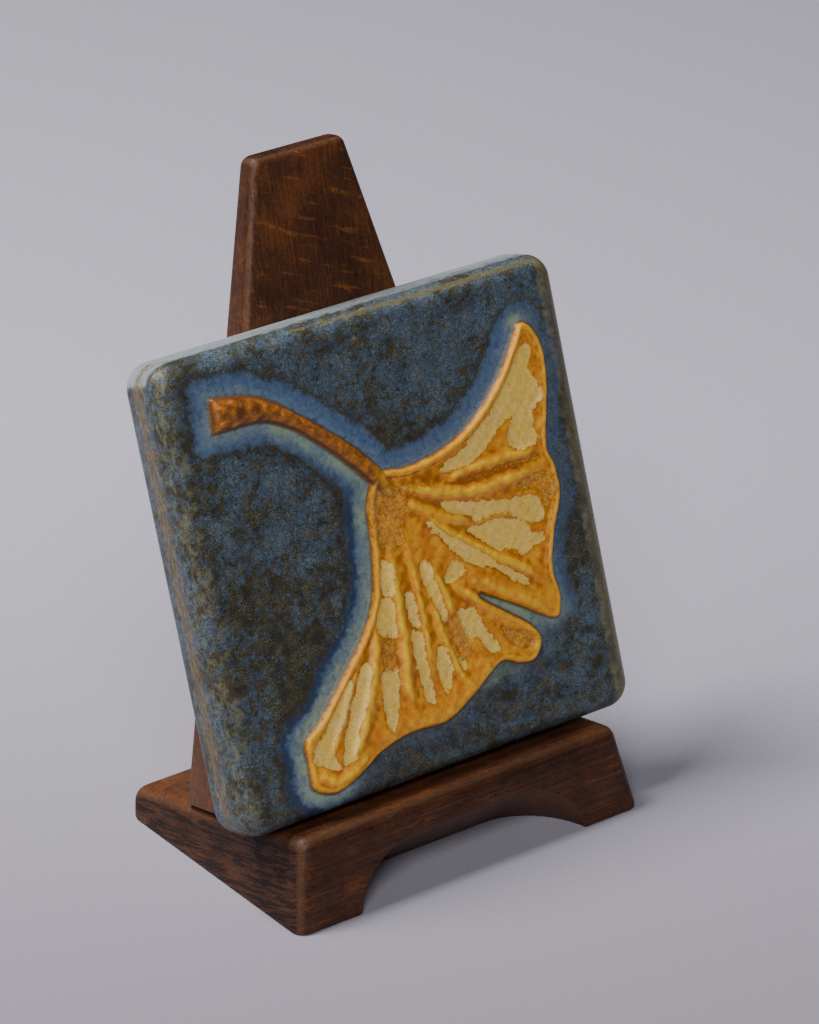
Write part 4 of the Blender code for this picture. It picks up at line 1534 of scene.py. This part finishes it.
@dataclass
class EaselUpright:
    """The tapered board that the tile leans on."""

    easel: EaselFrame
    length: float = 0.13374
    top_width: float = 0.0232
    foot_thickness: float = 0.0142
    top_thickness: float = 0.0057
    edge_radius: float = 0.0020
    edge_segments: int = 6

    def build(self) -> bpy.types.Object:
        """Model the board from a block that narrows to its top.

        Returns:
            The upright in its place.
        """
        easel = self.easel
        foot = easel.upright_foot()
        corner = foot + easel.back * self.foot_thickness
        foot_width = easel.base_width - 2 * corner.z * math.tan(easel.side_slope)
        deselect_all()
        bpy.ops.mesh.primitive_cube_add(size=1.0)
        piece = start_piece("oak_board")
        bpy.ops.transform.resize(value=(foot_width, self.foot_thickness, self.length))
        bpy.ops.transform.translate(value=(0.0, self.foot_thickness / 2, self.length / 2))
        top = self.length
        select_where(piece, "FACE", lambda middle, normal: middle.z > top - TOUCH)
        narrower = (self.top_width / foot_width, self.top_thickness / self.foot_thickness, 1.0)
        bpy.ops.transform.resize(value=narrower, center_override=(0.0, 0.0, top))
        select_where(piece, "EDGE", lambda middle, run: middle.z > TOUCH)
        bpy.ops.mesh.bevel(offset=self.edge_radius, segments=self.edge_segments, affect="EDGES")
        bpy.ops.object.mode_set(mode="OBJECT")
        bpy.ops.object.shade_smooth_by_angle(angle=SMOOTH_ANGLE)
        name_wood_values(piece, (Vector((0.0, 0.0, 1.0)), Vector((1.0, 0.0, 0.0)), Vector((0.0, 1.0, 0.0))))
        place_piece(piece, easel.leaning(foot + easel.up * CLEARANCE, easel.lean))
        return piece

    def dress(self, piece: bpy.types.Object) -> None:
        """Stain the upright and tie it to its node.

        Args:
            piece: The upright.
        """
        piece.data.materials.append(StainedOak(Board.UPRIGHT).material())
        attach(piece, ROOT)
        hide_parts("easel_upright")


@dataclass
class SoftLight:
    """One large soft lamp, aimed at the tile."""

    name: str
    place: tuple[float, float, float]
    size: float
    watts: float
    tint: tuple[float, float, float]
    target: tuple[float, float, float] = (0.0, 0.0, 0.06)

    def build(self) -> None:
        """Add the lamp."""
        data = bpy.data.lights.new(self.name, "AREA")
        data.shape = "DISK"
        data.size = self.size
        data.energy = self.watts
        data.color = self.tint
        lamp = bpy.data.objects.new(self.name, data)
        lamp.location = self.place
        aim = Vector(self.target) - Vector(self.place)
        lamp.rotation_euler = aim.to_track_quat("-Z", "Y").to_euler()
        bpy.context.scene.collection.objects.link(lamp)


@dataclass
class Studio:
    """The floor, the lamps and the camera, which stands where the photograph's stood."""

    azimuth: float = math.radians(36.44)
    elevation: float = math.radians(26.59)
    roll: float = math.radians(-0.21)
    distance: float = 0.9775
    target: tuple[float, float, float] = (0.0055, 0.0300, 0.0710)
    focal_pixels: float = 4683.0
    picture_height: float = 1024.0
    sensor: float = 36.0
    floor_size: float = 6.0
    air: tuple[float, float, float, float] = (0.92, 0.93, 1.0, 1.0)
    ambient: float = 0.03
    lamps: list[SoftLight] = field(default_factory=lambda: [
        SoftLight("key lamp", (-0.42, 0.34, 1.02), 0.42, 15.5, (1.0, 0.985, 0.965)),
        SoftLight("fill lamp", (-0.60, -0.74, 0.88), 0.55, 8.5, (0.985, 0.985, 1.0)),
    ])

    def build_floor(self) -> None:
        """Lay the paper sweep."""
        deselect_all()
        bpy.ops.mesh.primitive_grid_add(x_subdivisions=8, y_subdivisions=8, size=self.floor_size)
        floor = bpy.context.active_object
        floor.name = "paper_floor"
        floor.data.materials.append(PaperSweep().material())

    def build_camera(self, easel: EaselFrame) -> None:
        """Stand the camera in front and to the left, above the tile.

        Args:
            easel: The easel's frame, which the target is given in.
        """
        turn, rise = self.azimuth, self.elevation
        ahead = Vector((math.sin(turn) * math.cos(rise), math.cos(turn) * math.cos(rise), -math.sin(rise)))
        right = Vector((math.cos(turn), -math.sin(turn), 0.0))
        above = right.cross(ahead)
        tilt = (math.cos(self.roll), math.sin(self.roll))
        right, above = right * tilt[0] + above * tilt[1], above * tilt[0] - right * tilt[1]
        place = Vector(self.target) + easel.origin - ahead * self.distance
        data = bpy.data.cameras.new("photo camera")
        data.sensor_width = self.sensor
        data.lens = self.focal_pixels * self.sensor / self.picture_height
        camera = bpy.data.objects.new("photo camera", data)
        axes = Matrix((right, above, -ahead)).transposed().to_4x4()
        camera.matrix_world = Matrix.Translation(place) @ axes
        bpy.context.scene.collection.objects.link(camera)
        bpy.context.scene.camera = camera

    def build_air(self) -> None:
        """Fill the studio with an even grey light."""
        world = bpy.data.worlds.new("studio air")
        world.use_nodes = True
        shade = world.node_tree.nodes["Background"]
        shade.inputs["Color"].default_value = self.air
        shade.inputs["Strength"].default_value = self.ambient
        bpy.context.scene.world = world

    def build(self, easel: EaselFrame) -> None:
        """Set up the whole studio.

        Args:
            easel: The easel's frame.
        """
        self.build_floor()
        for lamp in self.lamps:
            lamp.build()
        self.build_air()
        self.build_camera(easel)


def main() -> None:
    """Build the easel, the tile and the studio, in that order."""
    logging.basicConfig(level=logging.INFO, format="%(name)s: %(message)s")
    easel = EaselFrame()
    for maker in (EaselBase(easel), EaselUpright(easel), LeafTile(easel)):
        piece = maker.build()
        maker.dress(piece)
        log.info("%s has %d faces", piece.name, len(piece.data.polygons))
    Studio().build(easel)
    log.info("the studio is lit")


if __name__ == "__main__":
    main()
